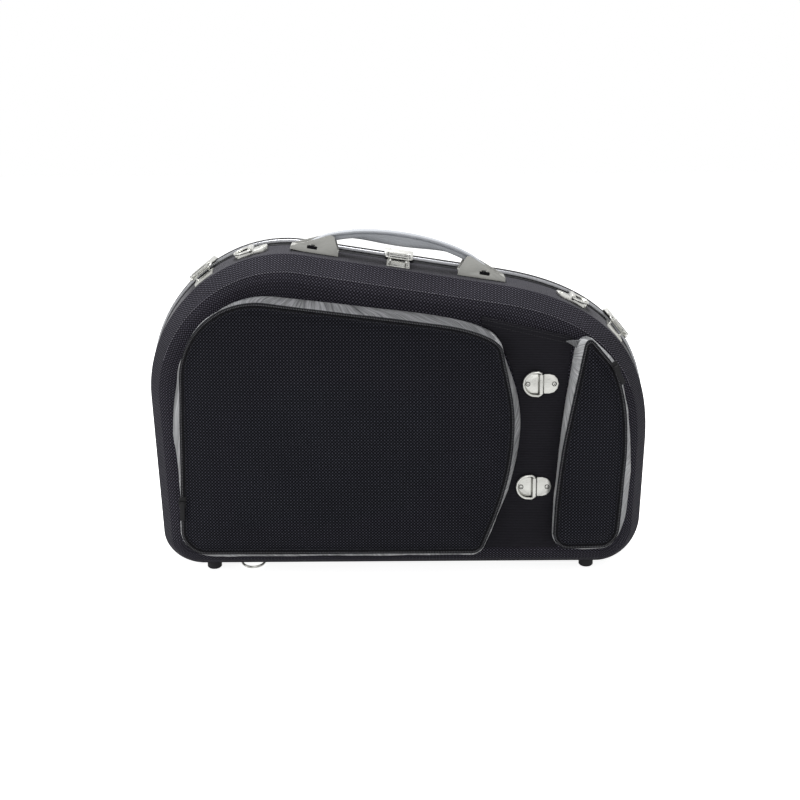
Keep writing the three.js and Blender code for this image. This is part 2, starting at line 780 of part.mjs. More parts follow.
function addStrapMount(name, origin, xWay, zWay, seat, swingDegrees = 0) {
  const group = addFrame(origin, xWay, zWay);
  const { length, width, thickness, humpHeight, humpWidth, humpTop, wireRadius, barHeight } = strapMount;
  const bore = wireRadius + gap;
  const half = humpWidth / 2;
  const shoulder = half * strapMount.humpShoulder;
  const section = [
    [-length / 2, -overrun], [-length / 2, thickness],
    [-half, thickness], [-shoulder, (barHeight + humpHeight) / 2],
    [-half * humpTop, humpHeight], [half * humpTop, humpHeight], [shoulder, (barHeight + humpHeight) / 2],
    [half, thickness], [length / 2, thickness], [length / 2, -overrun],
  ];
  const strip = slabY(section, [-width / 2, width / 2]);
  const corner = width * strapMount.cornerShare;
  const stadium = [];
  for (const [end, from] of [[1, -90], [-1, 90]]) {
    for (let step = 0; step <= 6; step += 1) {
      const angle = THREE.MathUtils.degToRad(from + step * 30);
      stadium.push([end * (length / 2 - corner) + corner * Math.cos(angle), (width / 2) * Math.sin(angle)]);
    }
  }
  const ring = (height) => stadium.map(([x, y]) => new THREE.Vector3(x, y, height));
  const cutter = loft([ring(-2 * overrun), ring(humpHeight + overrun)]);
  const tunnel = barY(bore, [-width, width], 0, barHeight, 10)
    .add(box([-bore, bore], [-width, width], [thickness / 2, barHeight]));
  let plate = strip.intersect(cutter).subtract(tunnel);
  for (const end of [-1, 1]) {
    const x = (end * strapMount.screwSpread) / 2;
    plate = plate.add(barZ(strapMount.screwRadius, [0, thickness + strapMount.screwHeight], x, 0, 10));
  }
  addMesh(group, `strap_plate_${name}`, plate.subtract(seenFrom(group, seat)), nickel);

  const swung = new THREE.Group();
  swung.position.z = barHeight;
  swung.rotation.y = -THREE.MathUtils.degToRad(swingDegrees);
  group.add(swung);
  swung.updateMatrixWorld(true);
  const { barLength, ringWidth, ringReach } = strapMount;
  const bend = ringWidth / 2 - wireRadius;
  const straight = ringReach - wireRadius - bend;
  const loop = [[0, wireRadius - barLength / 2], [0, barLength / 2 - wireRadius], [straight / 2, bend]];
  for (let turn = 75; turn >= -75; turn -= 15) {
    const angle = THREE.MathUtils.degToRad(turn);
    loop.push([straight + bend * Math.cos(angle), bend * Math.sin(angle)]);
  }
  loop.push([straight / 2, -bend]);
  addMesh(swung, `strap_ring_${name}`, wireLoop(loop, wireRadius), nickel);
}

function addTopStrapMount(name, share, outwards) {
  const x = (share * shell.width) / 2;
  const { z, slope } = topOfOutline(x);
  const depth = shell.wallDepth / 2 + rim.flange;
  const tilt = THREE.MathUtils.degToRad(shell.draftDegrees);
  const along = new THREE.Vector3(Math.cos(slope), 0, Math.sin(slope)).multiplyScalar(outwards);
  const normal = new THREE.Vector3(-Math.sin(slope), 0, Math.cos(slope));
  const drop = depth * draft;
  const origin = new THREE.Vector3(x, partingY - depth, z).addScaledVector(normal, gap - drop);
  const out = normal.multiplyScalar(Math.cos(tilt)).add(new THREE.Vector3(0, -Math.sin(tilt), 0));
  addStrapMount(name, origin, along, out, frontSeat);
}

function addStrapMounts() {
  const out = new THREE.Vector3(0, -1, 0);
  const seatY = partingY - shell.faceDepth - 2 * gap - strapPanel.thickness;
  for (const [name, { x, z }] of Object.entries(frontRings)) {
    addStrapMount(name, new THREE.Vector3(x, seatY, z), new THREE.Vector3(-1, 0, 0), out, panelSeat);
  }
  addTopStrapMount('top_left', topRingShares.left, -1);
  addTopStrapMount('top_right', topRingShares.right, 1);
  const tilt = THREE.MathUtils.degToRad(shell.draftDegrees);
  const wallZ = shell.lift + bottomRing.depth * draft - gap;
  const down = new THREE.Vector3(0, -Math.sin(tilt), -Math.cos(tilt));
  const forwards = new THREE.Vector3(0, -Math.cos(tilt), Math.sin(tilt));
  const origin = new THREE.Vector3(bottomRing.x, partingY - bottomRing.depth, wallZ);
  addStrapMount('bottom', origin, forwards, down, frontSeat, bottomRing.swingDegrees);
}

// Draw latches: x runs along the rim, y to the back from the parting plane, z outwards

const rimTop = rim.proud + gap;
const keeperFloor = rimTop + latch.plate;
const hookRest = { y: -latch.hookDepth, z: keeperFloor + gap + latch.wireRadius };
const leverPivot = { y: -latch.pivotDepth, z: latch.pivotHeight };
const loopPivot = { y: leverPivot.y - latch.loopOffset, z: leverPivot.z - latch.overCentre };

function addKeeper(group, name) {
  const foot = rim.depth + gap;
  const back = foot + latch.keeperFoot;
  const plate = slabX([
    [back, -overrun], [back, latch.plate], [foot + latch.keeperFoot / 3, latch.plate],
    [rim.depth / 2, latch.keeperHeight], [-rim.depth / 4, latch.keeperHeight],
    [-latch.keeperReach, keeperFloor], [-latch.keeperReach, rimTop], [foot, rimTop], [foot, -overrun],
  ], [-latch.keeperWidth / 2, latch.keeperWidth / 2]);
  const lip = hookRest.y - latch.wireRadius - latch.hookGap;
  const hookTop = keeperFloor + latch.hookHeight;
  const hook = slabX([
    [-latch.keeperReach + latch.plate, rimTop], [-latch.keeperReach + latch.plate, keeperFloor],
    [lip, keeperFloor], [lip, hookTop], [lip - latch.plate, hookTop], [lip - latch.plate, rimTop],
  ], [-latch.hookWidth / 2, latch.hookWidth / 2]);
  addMesh(group, `latch_keeper_${name}`, plate.add(hook).subtract(seenFrom(group, backSeat)), nickel);
}

function addLatchBase(group, name) {
  const half = latch.baseWidth / 2;
  const wallDrop = (latch.baseStart + latch.baseLength) * draft;
  const ears = latch.leverWidth / 2 - latch.plate - gap;
  const places = [-latch.baseStart - latch.baseLength, -latch.baseStart];
  let base = slabX([
    [places[0], -overrun], [places[0], latch.plate - wallDrop],
    [places[1], latch.plate - latch.baseStart * draft], [places[1], -overrun],
  ], [-half, half]);
  const earReach = [leverPivot.y - latch.earRadius, leverPivot.y + latch.earRadius];
  for (const end of [-1, 1]) {
    const ear = [end * ears, end * (ears - latch.plate)].sort((a, b) => a - b);
    const stub = [end * (ears - latch.plate), (end * latch.leverWidth) / 2].sort((a, b) => a - b);
    base = base
      .add(barX(latch.earRadius, ear, leverPivot.y, leverPivot.z, 12))
      .add(box(ear, earReach, [-wallDrop, leverPivot.z]))
      .add(barX(latch.stubRadius, stub, leverPivot.y, leverPivot.z, 12));
  }
  addMesh(group, `latch_base_${name}`, base.subtract(seenFrom(group, frontSeat)), nickel);
}

function addLever(group, name) {
  const half = latch.leverWidth / 2;
  const near = leverPivot.y - latch.leverStart;
  const tip = near - latch.leverLength;
  const under = latch.leverHeight - latch.plate;
  const bend = near - latch.leverLength * latch.leverBend;
  let lever = slabX([
    [near, under], [near, latch.leverHeight],
    [bend, latch.leverHeight], [tip, latch.leverHeight + latch.lipRise],
    [tip, under + latch.lipRise], [bend, under],
  ], [-half, half]);
  for (const end of [-1, 1]) {
    const places = [end * (half - latch.plate), end * half].sort((a, b) => a - b);
    const far = loopPivot.y - latch.flangeRadius;
    lever = lever.add(slabX([
      [near, latch.leverHeight], [leverPivot.y, leverPivot.z + latch.flangeRadius],
      [leverPivot.y + latch.flangeRadius, leverPivot.z], [leverPivot.y, leverPivot.z - latch.flangeRadius],
      [loopPivot.y, loopPivot.z - latch.flangeRadius], [far, loopPivot.z], [far, under + latch.plate / 2],
    ], places));
  }
  const reach = [-half - gap, half + gap];
  const bores = barX(latch.stubRadius + latch.stubGap, reach, leverPivot.y, leverPivot.z, 12)
    .add(barX(latch.wireRadius + latch.stubGap, reach, loopPivot.y, loopPivot.z, 12));
  addMesh(group, `latch_lever_${name}`, lever.subtract(bores), nickel);
}

// The wire's far bar lies behind the hook, and its near bar turns in the lever
function addLatchLoop(group, name) {
  const rise = hookRest.z - loopPivot.z;
  const run = hookRest.y - loopPivot.y;
  const swung = new THREE.Group();
  swung.position.set(0, loopPivot.y, loopPivot.z);
  swung.rotation.x = Math.atan2(rise, run);
  group.add(swung);
  swung.updateMatrixWorld(true);
  const corner = latch.loopCorner;
  const across = latch.loopWidth / 2 - latch.wireRadius - corner;
  const reach = Math.hypot(rise, run) - corner;
  const corners = [[across, corner, -90], [across, reach, 0], [-across, reach, 90], [-across, corner, 180]];
  const loop = corners.flatMap(([x, y, turn]) => [0, 30, 60, 90].map((step) => {
    const angle = THREE.MathUtils.degToRad(turn + step);
    return [x + corner * Math.cos(angle), y + corner * Math.sin(angle)];
  }));
  addMesh(swung, `latch_loop_${name}`, wireLoop(loop, latch.wireRadius), nickel);
}

function addLatch(name, share) {
  const group = addTopFrame((share * shell.width) / 2);
  addKeeper(group, name);
  addLatchBase(group, name);
  addLever(group, name);
  addLatchLoop(group, name);
}

// Hinges along the bottom: one leaf on each half, knuckles about a pin outside the rim

function addHinge(name, x) {
  const group = new THREE.Group();
  group.position.set(x, partingY, shell.lift - hinge.axisDrop);
  group.updateMatrixWorld(true);
  hornCase.add(group);
  const half = hinge.length / 2;
  const middle = hinge.middleLength / 2;
  const leafTop = hinge.axisDrop - gap;
  const leafLow = leafTop - hinge.leafThickness;
  const spans = { front: [[-middle, middle]], back: [[-half, -middle - gap], [middle + gap, half]] };
  for (const [sideName, side, seat] of [['front', -1, frontSeat], ['back', 1, backSeat]]) {
    const reach = [side * gap, side * hinge.leafWidth].sort((a, b) => a - b);
    let leaf = box([-half, half], reach, [leafLow, leafTop + overrun]);
    leaf = leaf.subtract(seenFrom(group, seat));
    const away = hinge.knuckleRadius + gap;
    const clear = [-away, away];
    for (const [from, to] of spans[sideName === 'front' ? 'back' : 'front']) {
      leaf = leaf.subtract(box([from - gap, to + gap], clear, [-away, leafTop + overrun]));
    }
    for (const [from, to] of spans[sideName]) {
      leaf = leaf.add(barX(hinge.knuckleRadius, [from, to], 0, 0, 14));
    }
    leaf = leaf.subtract(barX(hinge.boreRadius, [-hinge.length, hinge.length], 0, 0, 10));
    addMesh(group, `hinge_leaf_${sideName}_${name}`, leaf, nickel);
  }
  addMesh(group, `hinge_pin_${name}`, barX(hinge.pinRadius, [-half, half], 0, 0, 10), nickel);
}

// Rubber feet, cut to the slope of the bottom walls

function addFoot(name, x, side) {
  const group = new THREE.Group();
  group.position.set(x, partingY + side * foot.depth, 0);
  group.updateMatrixWorld(true);
  hornCase.add(group);
  const top = shell.lift + shell.wallDepth * draft + overrun;
  const profile = [
    [0, 0], [foot.soleRadius, 0], [foot.radius, foot.bevel], [foot.radius, top], [0, top],
  ].map(([radius, height]) => new THREE.Vector2(radius, height));
  const pad = toSolid(new THREE.LatheGeometry(profile, foot.segments).rotateX(Math.PI / 2));
  const seat = side < 0 ? frontSeat : backSeat;
  addMesh(group, `foot_${name}`, pad.subtract(seenFrom(group, seat)), rubber);
}

// Handle: x along the sloping top, z away from it; the strap's pins slide in the brackets' slots

const archShares = [[1, 0], [0.73, 0.72], [0.37, 1], [0, 1]]; // pin to the middle of the strap

function archPoints(steps) {
  const half = handle.pinSpread / 2;
  const points = archShares.map(([x, z]) => new THREE.Vector2(-x * half, handle.pinHeight + z * handle.rise));
  const left = new THREE.CubicBezierCurve(...points).getPoints(steps);
  const right = left.slice(0, -1).reverse().map((point) => new THREE.Vector2(-point.x, point.y));
  return [...left, ...right];
}

function offsetLine(points, distance) {
  return points.map((point, index) => {
    const before = points[Math.max(index - 1, 0)];
    const after = points[Math.min(index + 1, points.length - 1)];
    const along = after.clone().sub(before).normalize();
    return [point.x - along.y * distance, point.y + along.x * distance];
  });
}

function addHandle() {
  const group = addTopFrame(0);
  const wallDrop = handle.depth * draft;
  group.translateY(-handle.depth);
  group.translateZ(-wallDrop);
  group.updateMatrixWorld(true);
  const half = handle.pinSpread / 2;
  const arch = archPoints(10);

  const strapHalf = handle.strapThickness / 2;
  const strapSide = [...offsetLine(arch, strapHalf), ...offsetLine(arch, -strapHalf).reverse()];
  const strapReach = [-handle.strapWidth / 2, handle.strapWidth / 2];
  let strap = slabY(strapSide, strapReach);
  for (const end of [-1, 1]) {
    strap = strap.add(barY(handle.eyeRadius, strapReach, end * half, handle.pinHeight, 12));
  }
  for (const end of [-1, 1]) {
    const bore = [-handle.strapWidth, handle.strapWidth];
    strap = strap.subtract(barY(handle.boreRadius, bore, end * half, handle.pinHeight, 10));
  }
  addMesh(group, 'handle_strap', strap, handleRubber);

  const inGrip = arch.filter((point) => Math.abs(point.x) <= handle.gripLength / 2);
  const above = offsetLine(inGrip, -strapHalf - gap);
  const below = above.map(([x, z]) => {
    const share = 1 - Math.abs((2 * x) / handle.gripLength) ** handle.gripCurve;
    return [x, z - handle.gripEnd - (handle.gripThickness - handle.gripEnd) * share];
  });
  const gripReach = [-handle.gripWidth / 2, handle.gripWidth / 2];
  addMesh(group, 'handle_grip', slabY([...above, ...below.reverse()], gripReach), handleRubber);

  for (const [name, end] of [['left', -1], ['right', 1]]) {
    addBracket(group, name, end);
  }
}

function addBracket(group, name, end) {
  const { bracketHeight, cheekThickness } = handle;
  const half = handle.pinSpread / 2;
  const bracketOuter = half + handle.bracketOut;
  const bracketPeak = half - handle.bracketPeak;
  const bracketInner = half - handle.bracketIn;
  const outerFace = handle.cheekGap / 2 + cheekThickness;
  const slotRadius = handle.pinRadius + handle.slotClearance;
  const sloped = [
    [bracketOuter, -overrun], [bracketOuter, handle.baseThickness], [bracketPeak, bracketHeight],
    [(bracketPeak + bracketInner) / 2, bracketHeight * handle.bracketSlope],
    [bracketInner, handle.baseThickness],
    [bracketInner, -overrun],
  ].map(([x, z]) => [end * x, z]);
  const block = slabY(sloped, [-outerFace, outerFace]);
  const channel = box(
    [end * (bracketInner - overrun), end * (bracketOuter + overrun)].sort((a, b) => a - b),
    [-handle.cheekGap / 2, handle.cheekGap / 2], [handle.baseThickness, bracketHeight + overrun],
  );
  const slotEnds = [end * half, end * (half - handle.pinTravel)].sort((a, b) => a - b);
  const through = [-outerFace - overrun, outerFace + overrun];
  const slot = barY(slotRadius, through, slotEnds[0], handle.pinHeight, 12)
    .add(barY(slotRadius, through, slotEnds[1], handle.pinHeight, 12))
    .add(box(slotEnds, through, [handle.pinHeight - slotRadius, handle.pinHeight + slotRadius]));
  const bracket = block.subtract(channel).subtract(slot).subtract(seenFrom(group, frontSeat));
  addMesh(group, `handle_bracket_${name}`, bracket, nickel);

  const headIn = outerFace + gap;
  const headOut = headIn + handle.pinHeadThickness;
  const pin = barY(handle.pinRadius, [-headOut, headOut], end * half, handle.pinHeight, 12)
    .add(barY(handle.pinHeadRadius, [-headOut, -headIn], end * half, handle.pinHeight, 12))
    .add(barY(handle.pinHeadRadius, [headIn, headOut], end * half, handle.pinHeight, 12));
  addMesh(group, `handle_pin_${name}`, pin, nickel);
}

// Assembly

addShell('back_shell', 1);
addShell('front_shell', -1);
addRim('back_rim', 1);
addRim('front_rim', -1);
addLiner('back_liner', 1);
addLiner('front_liner', -1);
addPocket('large', largePocket, largePanelOutline, largeGussetOutline);
addPocket('small', smallPocket, smallPanelOutline, smallGussetOutline);
addStrapPanel();
addSlider('large', seamAt(largePanelOutline, largePocket, slider.parked.large, -1));
addSlider('small', seamAt(smallPanelOutline, smallPocket, slider.parked.small, 1));
addStrapMounts();
for (const [name, share] of Object.entries(latchShares)) {
  addLatch(name, share);
}
for (const [name, end] of [['left', -1], ['right', 1]]) {
  addHinge(name, (end * hinge.spread) / 2);
  addFoot(`front_${name}`, (end * foot.spread) / 2, -1);
  addFoot(`back_${name}`, (end * foot.spread) / 2, 1);
}
addHandle();

export default hornCase;
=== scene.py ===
"""A french horn case with two front pockets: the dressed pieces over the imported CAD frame."""

import json
import math

import bmesh
import bpy
from mathutils import Matrix, Vector, noise
from mathutils.bvhtree import BVHTree
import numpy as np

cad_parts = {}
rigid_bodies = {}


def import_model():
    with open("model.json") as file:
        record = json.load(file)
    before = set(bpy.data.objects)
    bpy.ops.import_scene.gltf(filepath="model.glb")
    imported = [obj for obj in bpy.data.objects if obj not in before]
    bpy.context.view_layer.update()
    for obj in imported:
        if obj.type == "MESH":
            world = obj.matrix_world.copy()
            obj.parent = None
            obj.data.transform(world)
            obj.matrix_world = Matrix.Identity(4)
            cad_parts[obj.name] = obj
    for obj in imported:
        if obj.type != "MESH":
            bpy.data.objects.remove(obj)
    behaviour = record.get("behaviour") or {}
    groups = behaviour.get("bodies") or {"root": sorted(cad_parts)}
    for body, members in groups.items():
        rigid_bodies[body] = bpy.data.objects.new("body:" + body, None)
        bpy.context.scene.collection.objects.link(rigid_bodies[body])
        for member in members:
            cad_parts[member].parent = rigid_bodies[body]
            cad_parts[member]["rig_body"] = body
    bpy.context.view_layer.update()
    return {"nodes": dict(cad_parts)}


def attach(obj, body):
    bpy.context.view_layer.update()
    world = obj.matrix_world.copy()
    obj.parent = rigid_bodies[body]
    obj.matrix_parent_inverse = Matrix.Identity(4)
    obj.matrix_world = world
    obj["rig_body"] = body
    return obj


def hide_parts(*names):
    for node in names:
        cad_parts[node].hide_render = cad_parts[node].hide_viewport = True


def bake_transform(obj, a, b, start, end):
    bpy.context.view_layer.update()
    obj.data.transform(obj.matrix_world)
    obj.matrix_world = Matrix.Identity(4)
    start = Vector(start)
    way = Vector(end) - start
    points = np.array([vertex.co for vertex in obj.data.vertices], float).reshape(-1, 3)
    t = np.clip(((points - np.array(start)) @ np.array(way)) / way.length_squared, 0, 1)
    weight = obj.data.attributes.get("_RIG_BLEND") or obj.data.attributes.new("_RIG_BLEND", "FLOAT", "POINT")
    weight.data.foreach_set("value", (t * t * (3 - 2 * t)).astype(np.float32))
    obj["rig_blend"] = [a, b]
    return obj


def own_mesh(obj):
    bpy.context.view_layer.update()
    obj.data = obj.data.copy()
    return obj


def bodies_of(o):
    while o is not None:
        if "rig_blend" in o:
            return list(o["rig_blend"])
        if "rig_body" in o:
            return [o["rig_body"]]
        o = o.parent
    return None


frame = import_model()
MM = 0.001
# Shapes are given in millimetres, the camera, the finishes and the studio in metres
PARTING_Y = 15  # plane between the two halves
FRONT, BACK = -1, 1

# Camera

LENS, SENSOR = 59.445, 36
EYE = Vector((0, -1.585, 0.610))
PITCH_DOWN, ROLL = 14.2, -0.37
SHIFT_X, SHIFT_Y = 0.001, -0.0015
lens_data = bpy.data.cameras.new("camera")
lens_data.lens, lens_data.sensor_width = LENS, SENSOR
lens_data.shift_x, lens_data.shift_y = SHIFT_X, SHIFT_Y
camera = bpy.data.objects.new("camera", lens_data)
bpy.context.scene.collection.objects.link(camera)
camera.matrix_world = (
    Matrix.Translation(EYE)
    @ Matrix.Rotation(math.radians(90 - PITCH_DOWN), 4, "X")
    @ Matrix.Rotation(math.radians(ROLL), 4, "Z")
)
bpy.context.scene.camera = camera
bpy.context.scene.view_settings.view_transform = "Standard"


# Finishes

class Value:
    """A socket of a material's node, with sums written as sums."""

    def __init__(self, recipe, socket):
        self.recipe, self.socket = recipe, socket

    def maths(self, operation, *others):
        inputs = dict(enumerate((self, *others)))
        return self.recipe.node("ShaderNodeMath", {"operation": operation}, inputs)

    def __add__(self, other):
        return self.maths("ADD", other)

    def __sub__(self, other):
        return self.maths("SUBTRACT", other)

    def __rsub__(self, other):
        return (self * -1) + other

    def __mul__(self, other):
        return self.maths("MULTIPLY", other)

    def __pow__(self, other):
        return self.maths("POWER", other)

    __radd__ = __add__

    def sine(self):
        return self.maths("SINE")

    def size(self):
        return self.maths("ABSOLUTE")

    def above(self, other):
        return self.maths("GREATER_THAN", other)

    def held(self, low, high):
        return self.maths("MAXIMUM", low).maths("MINIMUM", high)


class Finish:
    """A material and the nodes that it is made of."""

    def __init__(self, name, **settings):
        self.material = bpy.data.materials.new(name)
        self.material.use_nodes = True
        self.tree = self.material.node_tree
        self.shader = self.tree.nodes["Principled BSDF"]
        for key, value in settings.items():
            self.shader.inputs[key.replace("_", " ").title().replace("Ior", "IOR")].default_value = value

    def node(self, kind, settings=None, inputs=None, output=0):
        added = self.tree.nodes.new(kind)
        for key, value in (settings or {}).items():
            setattr(added, key, value)
        for key, value in (inputs or {}).items():
            self.feed(added.inputs[key], value)
        return Value(self, added.outputs[output])

    def feed(self, socket, value):
        if isinstance(value, Value):
            self.tree.links.new(value.socket, socket)
        else:
            socket.default_value = value

    def shade(self, key, value):
        self.feed(self.shader.inputs[key], value)

    def cloth_place(self):
        return self.node("ShaderNodeUVMap", {"uv_map": "Cloth"})

    def solid_place(self):
        return self.node("ShaderNodeTexCoord", output=3)

    def parts(self, place):
        return [self.node("ShaderNodeSeparateXYZ", inputs={0: place}, output=i) for i in range(3)]

    def mottle(self, place, grains, detail=2.0, stretch=(1, 1, 1)):
        """Noise from 0 to 1 with that many grains to the metre."""
        scaled = self.node("ShaderNodeMapping", inputs={0: place, "Scale": stretch})
        return self.node("ShaderNodeTexNoise", inputs={"Vector": scaled, "Scale": grains, "Detail": detail})

    def mix(self, share, first, second):
        inputs = {0: share, 6: colour(first), 7: colour(second)}
        return self.node("ShaderNodeMix", {"data_type": "RGBA"}, inputs, output=2)

    def relief(self, height, depth):
        self.shade("Normal", self.node(
            "ShaderNodeBump", inputs={"Height": height, "Distance": depth, "Strength": 1.0}
        ))


def colour(rgb):
    """A colour given in screen values from 0 to 255."""
    linear = [((c / 255 + 0.055) / 1.055) ** 2.4 if c > 10 else c / 255 / 12.92 for c in rgb]
    return (*linear, 1.0)


def woven(name, deep, high, pitch, depth, sheen):
    """Cloth of crossed threads at 45 degrees: light domes over a dark ground, with painted shade in the
    grooves between threads and a painted highlight on the dome tops.
    """
    rough, dome, other = 0.8, 1.5, 0.6  # roughness on a dome, power of its curve, light of every other dome
    finish = Finish(name, sheen_weight=sheen, sheen_roughness=0.35, specular_ior_level=0.1)
    place = finish.cloth_place()
    u, v, _ = finish.parts(place)
    wander = (finish.mottle(place, 60) - 0.5) * (0.35 * pitch)
    slant = math.pi / (pitch * math.sqrt(2))
    crossing = ((u + v + wander) * slant).sine() * ((u - v + wander) * slant).sine()
    height = crossing.size() ** dome
    fibre = finish.mottle(place, 2600)
    cloud = finish.mottle(place, 14, 4.0)
    # The colour follows the dome height: partly the threads' own pattern, partly painted shade in the
    # grooves and a painted highlight on the tops
    light = height * (crossing.above(0) * (1 - other) + other) * (0.55 + fibre * 0.6) * (0.75 + cloud * 0.5)
    finish.shade("Base Color", finish.mix(light.held(0, 1), deep, high))
    finish.shade("Roughness", (rough + 0.25 - height * 0.25 + (fibre - 0.5) * 0.2).held(0.3, 1))
    finish.relief(height + fibre * 0.35, depth)
    return finish.material


def coarse_cloth(name, deep, high, thread, depth):
    """Plain grey cloth with fine striations and a slight uneven tone."""
    finish = Finish(name, sheen_weight=0.03, sheen_roughness=0.5, specular_ior_level=0.1)
    place = finish.cloth_place()
    u, v, _ = finish.parts(place)
    wander = (finish.mottle(place, 45) - 0.5) * 0.004
    rib = (((u + wander) * (math.pi / thread)).sine() * ((v + wander) * (math.pi / thread)).sine()).size()
    streak = finish.mottle(place, 420, 3.0, (1, 0.06, 1))
    cloud = finish.mottle(place, 18, 3.0)
    light = (rib * 0.2 + streak * 1.6 - 0.4) * (0.7 + cloud * 0.6)
    finish.shade("Base Color", finish.mix(light.held(0, 1), deep, high))
    finish.shade("Roughness", (0.95 - streak * 0.2).held(0.4, 1))
    finish.relief(rib + streak * 0.8, depth)
    return finish.material


def ribbed_cloth(name, deep, high, pitch, depth):
    """Smooth cloth with fine level ribs, read from the piece's own place."""
    finish = Finish(name, sheen_weight=0.02, sheen_roughness=0.4, specular_ior_level=0.12)
    place = finish.solid_place()
    _, _, z = finish.parts(place)
    wander = (finish.mottle(place, 30) - 0.5) * 0.0012
    rib = ((z + wander) * (math.pi / pitch)).sine().size()
    fibre = finish.mottle(place, 1500, 2.0, (0.3, 1, 1))
    cloud = finish.mottle(place, 20, 3.0)
    light = (rib * 0.5 + fibre * 0.5) * (0.7 + cloud * 0.6)
    finish.shade("Base Color", finish.mix(light.held(0, 1), deep, high))
    finish.shade("Roughness", (0.9 - rib * 0.25).held(0.4, 1))
    finish.relief(rib + fibre * 0.3, depth)
    return finish.material


def grained(name, dark, light, grains, rough, depth, stretch=(1, 1, 1), **settings):
    """Metal, rubber, plastic or plush: a grain, clouds of wear and an uneven shine."""
    finish = Finish(name, **settings)
    place = finish.solid_place()
    grain = finish.mottle(place, grains, 3.0, stretch)
    cloud = finish.mottle(place, 35, 4.0)
    share = (grain * 0.6 + cloud * 0.6 - 0.1).held(0, 1)
    finish.shade("Base Color", finish.mix(share, dark, light))
    finish.shade("Roughness", (rough + (grain - 0.5) * 0.25 + (cloud - 0.5) * 0.2).held(0.08, 1))
    finish.relief(grain, depth)
    return finish.material


def metal(name, dark, light, rough, grains=900, stretch=(0.2, 1, 1), metallic=1.0):
    """Brushed metal: its grain is drawn out where the stretch is below 1."""
    return grained(name, dark, light, grains, rough, 0.00004, stretch, metallic=metallic)


shell_cloth = woven("shell_weave", (8, 7, 12), (100, 98, 110), 0.0029, 0.0006, 0.03)
# A lighter, lower-contrast copy of the weave for the walls beside the rims: painted light, as on the top
# wall lit from above
wall_cloth_painted_light = woven("wall_weave_painted_light", (40, 39, 45), (86, 85, 93), 0.0022, 0.0002, 0.22)
pocket_cloth = woven("pocket_weave", (2, 2, 4), (76, 77, 87), 0.0027, 0.0006, 0.02)
gusset_cloth = coarse_cloth("gusset_weave", (30, 31, 34), (168, 169, 172), 0.0016, 0.0006)
# A lighter copy of the gusset cloth: painted light, given below to the faces that face the sides or down
gusset_painted_light = coarse_cloth("gusset_weave_painted_light", (92, 93, 96), (232, 233, 235), 0.0016, 0.0006)
# A darker copy of the gusset cloth: painted shade, given below to the lip that turns in under the zip
gusset_painted_shade = coarse_cloth("gusset_weave_painted_shade", (12, 12, 15), (62, 63, 67), 0.0016, 0.0004)
strap_cloth = ribbed_cloth("ribbed_nylon", (9, 8, 12), (38, 37, 43), 0.002, 0.0003)
binding = ribbed_cloth("binding_tape", (4, 4, 6), (22, 22, 26), 0.0014, 0.0002)
thread = grained("sewing_thread", (14, 14, 17), (42, 42, 48), 1800, 0.75, 0.0001)
# Light grey for the dots along ridge B: a painted highlight
ridge_painted_highlight = grained("ridge_painted_highlight", (84, 82, 90), (138, 136, 144), 1800, 0.7, 0.0001)
# Grey for the zip's teeth, lighter than the slider: partly the plastic's own grey, partly a painted
# highlight along the coil
zip_plastic = grained("zip_teeth_painted_highlight", (40, 40, 44), (96, 96, 100), 900, 0.4, 0.0001)
slider_plastic = grained(
    "zip_slider", (6, 6, 8), (24, 24, 27), 900, 0.5, 0.0001, specular_ior_level=0.25,
)
seal_rubber = grained("black_seal", (5, 5, 7), (20, 20, 23), 1200, 0.6, 0.0001)
plush = grained("plush", (17, 18, 28), (58, 61, 80), 1400, 0.95, 0.0012, sheen_weight=0.6)
rim_metal = metal("satin_aluminium", (132, 133, 137), (184, 185, 188), 0.32, 500, (1, 0.15, 0.15))
# A darker copy of the aluminium: painted shade, given below to the rim faces that don't face front or back
rim_painted_shade = metal("rim_painted_shade", (74, 75, 78), (116, 117, 120), 0.45, 500, (1, 0.15, 0.15))
nickel = metal("satin_nickel", (178, 178, 174), (226, 226, 221), 0.3)
bracket_metal = metal("bracket_metal", (122, 122, 119), (166, 166, 162), 0.5)
# A brighter copy of the metal for narrow bevel strips: a painted highlight
edge_painted_highlight = metal("bracket_edge_painted_highlight", (226, 226, 222), (248, 248, 245), 0.45, metallic=0.6)
foot_rubber = grained("foot_rubber", (16, 16, 18), (40, 40, 43), 1200, 0.7, 0.0001)
handle_rubber = grained(
    "handle_rubber", (146, 149, 154), (192, 195, 200), 1500, 0.65, 0.00008,
    specular_ior_level=0.12,
)
slot_finishes = {
    "shell_cloth": shell_cloth, "pocket_mesh": pocket_cloth, "gusset_cloth": gusset_cloth,
    "nylon": strap_cloth, "plush": plush, "zip_plastic": slider_plastic, "rim_metal": rim_metal,
    "nickel": nickel, "foot_rubber": foot_rubber, "handle_rubber": handle_rubber,
}

# Outlines: the same rounded corners as the CAD source, with more points

FINER = 3
EDGE_STEP = 9
LEAST_CUT, ROOM_USED = 0.15, 0.97  # least share of a cut that stays, share of an edge that two cuts may take


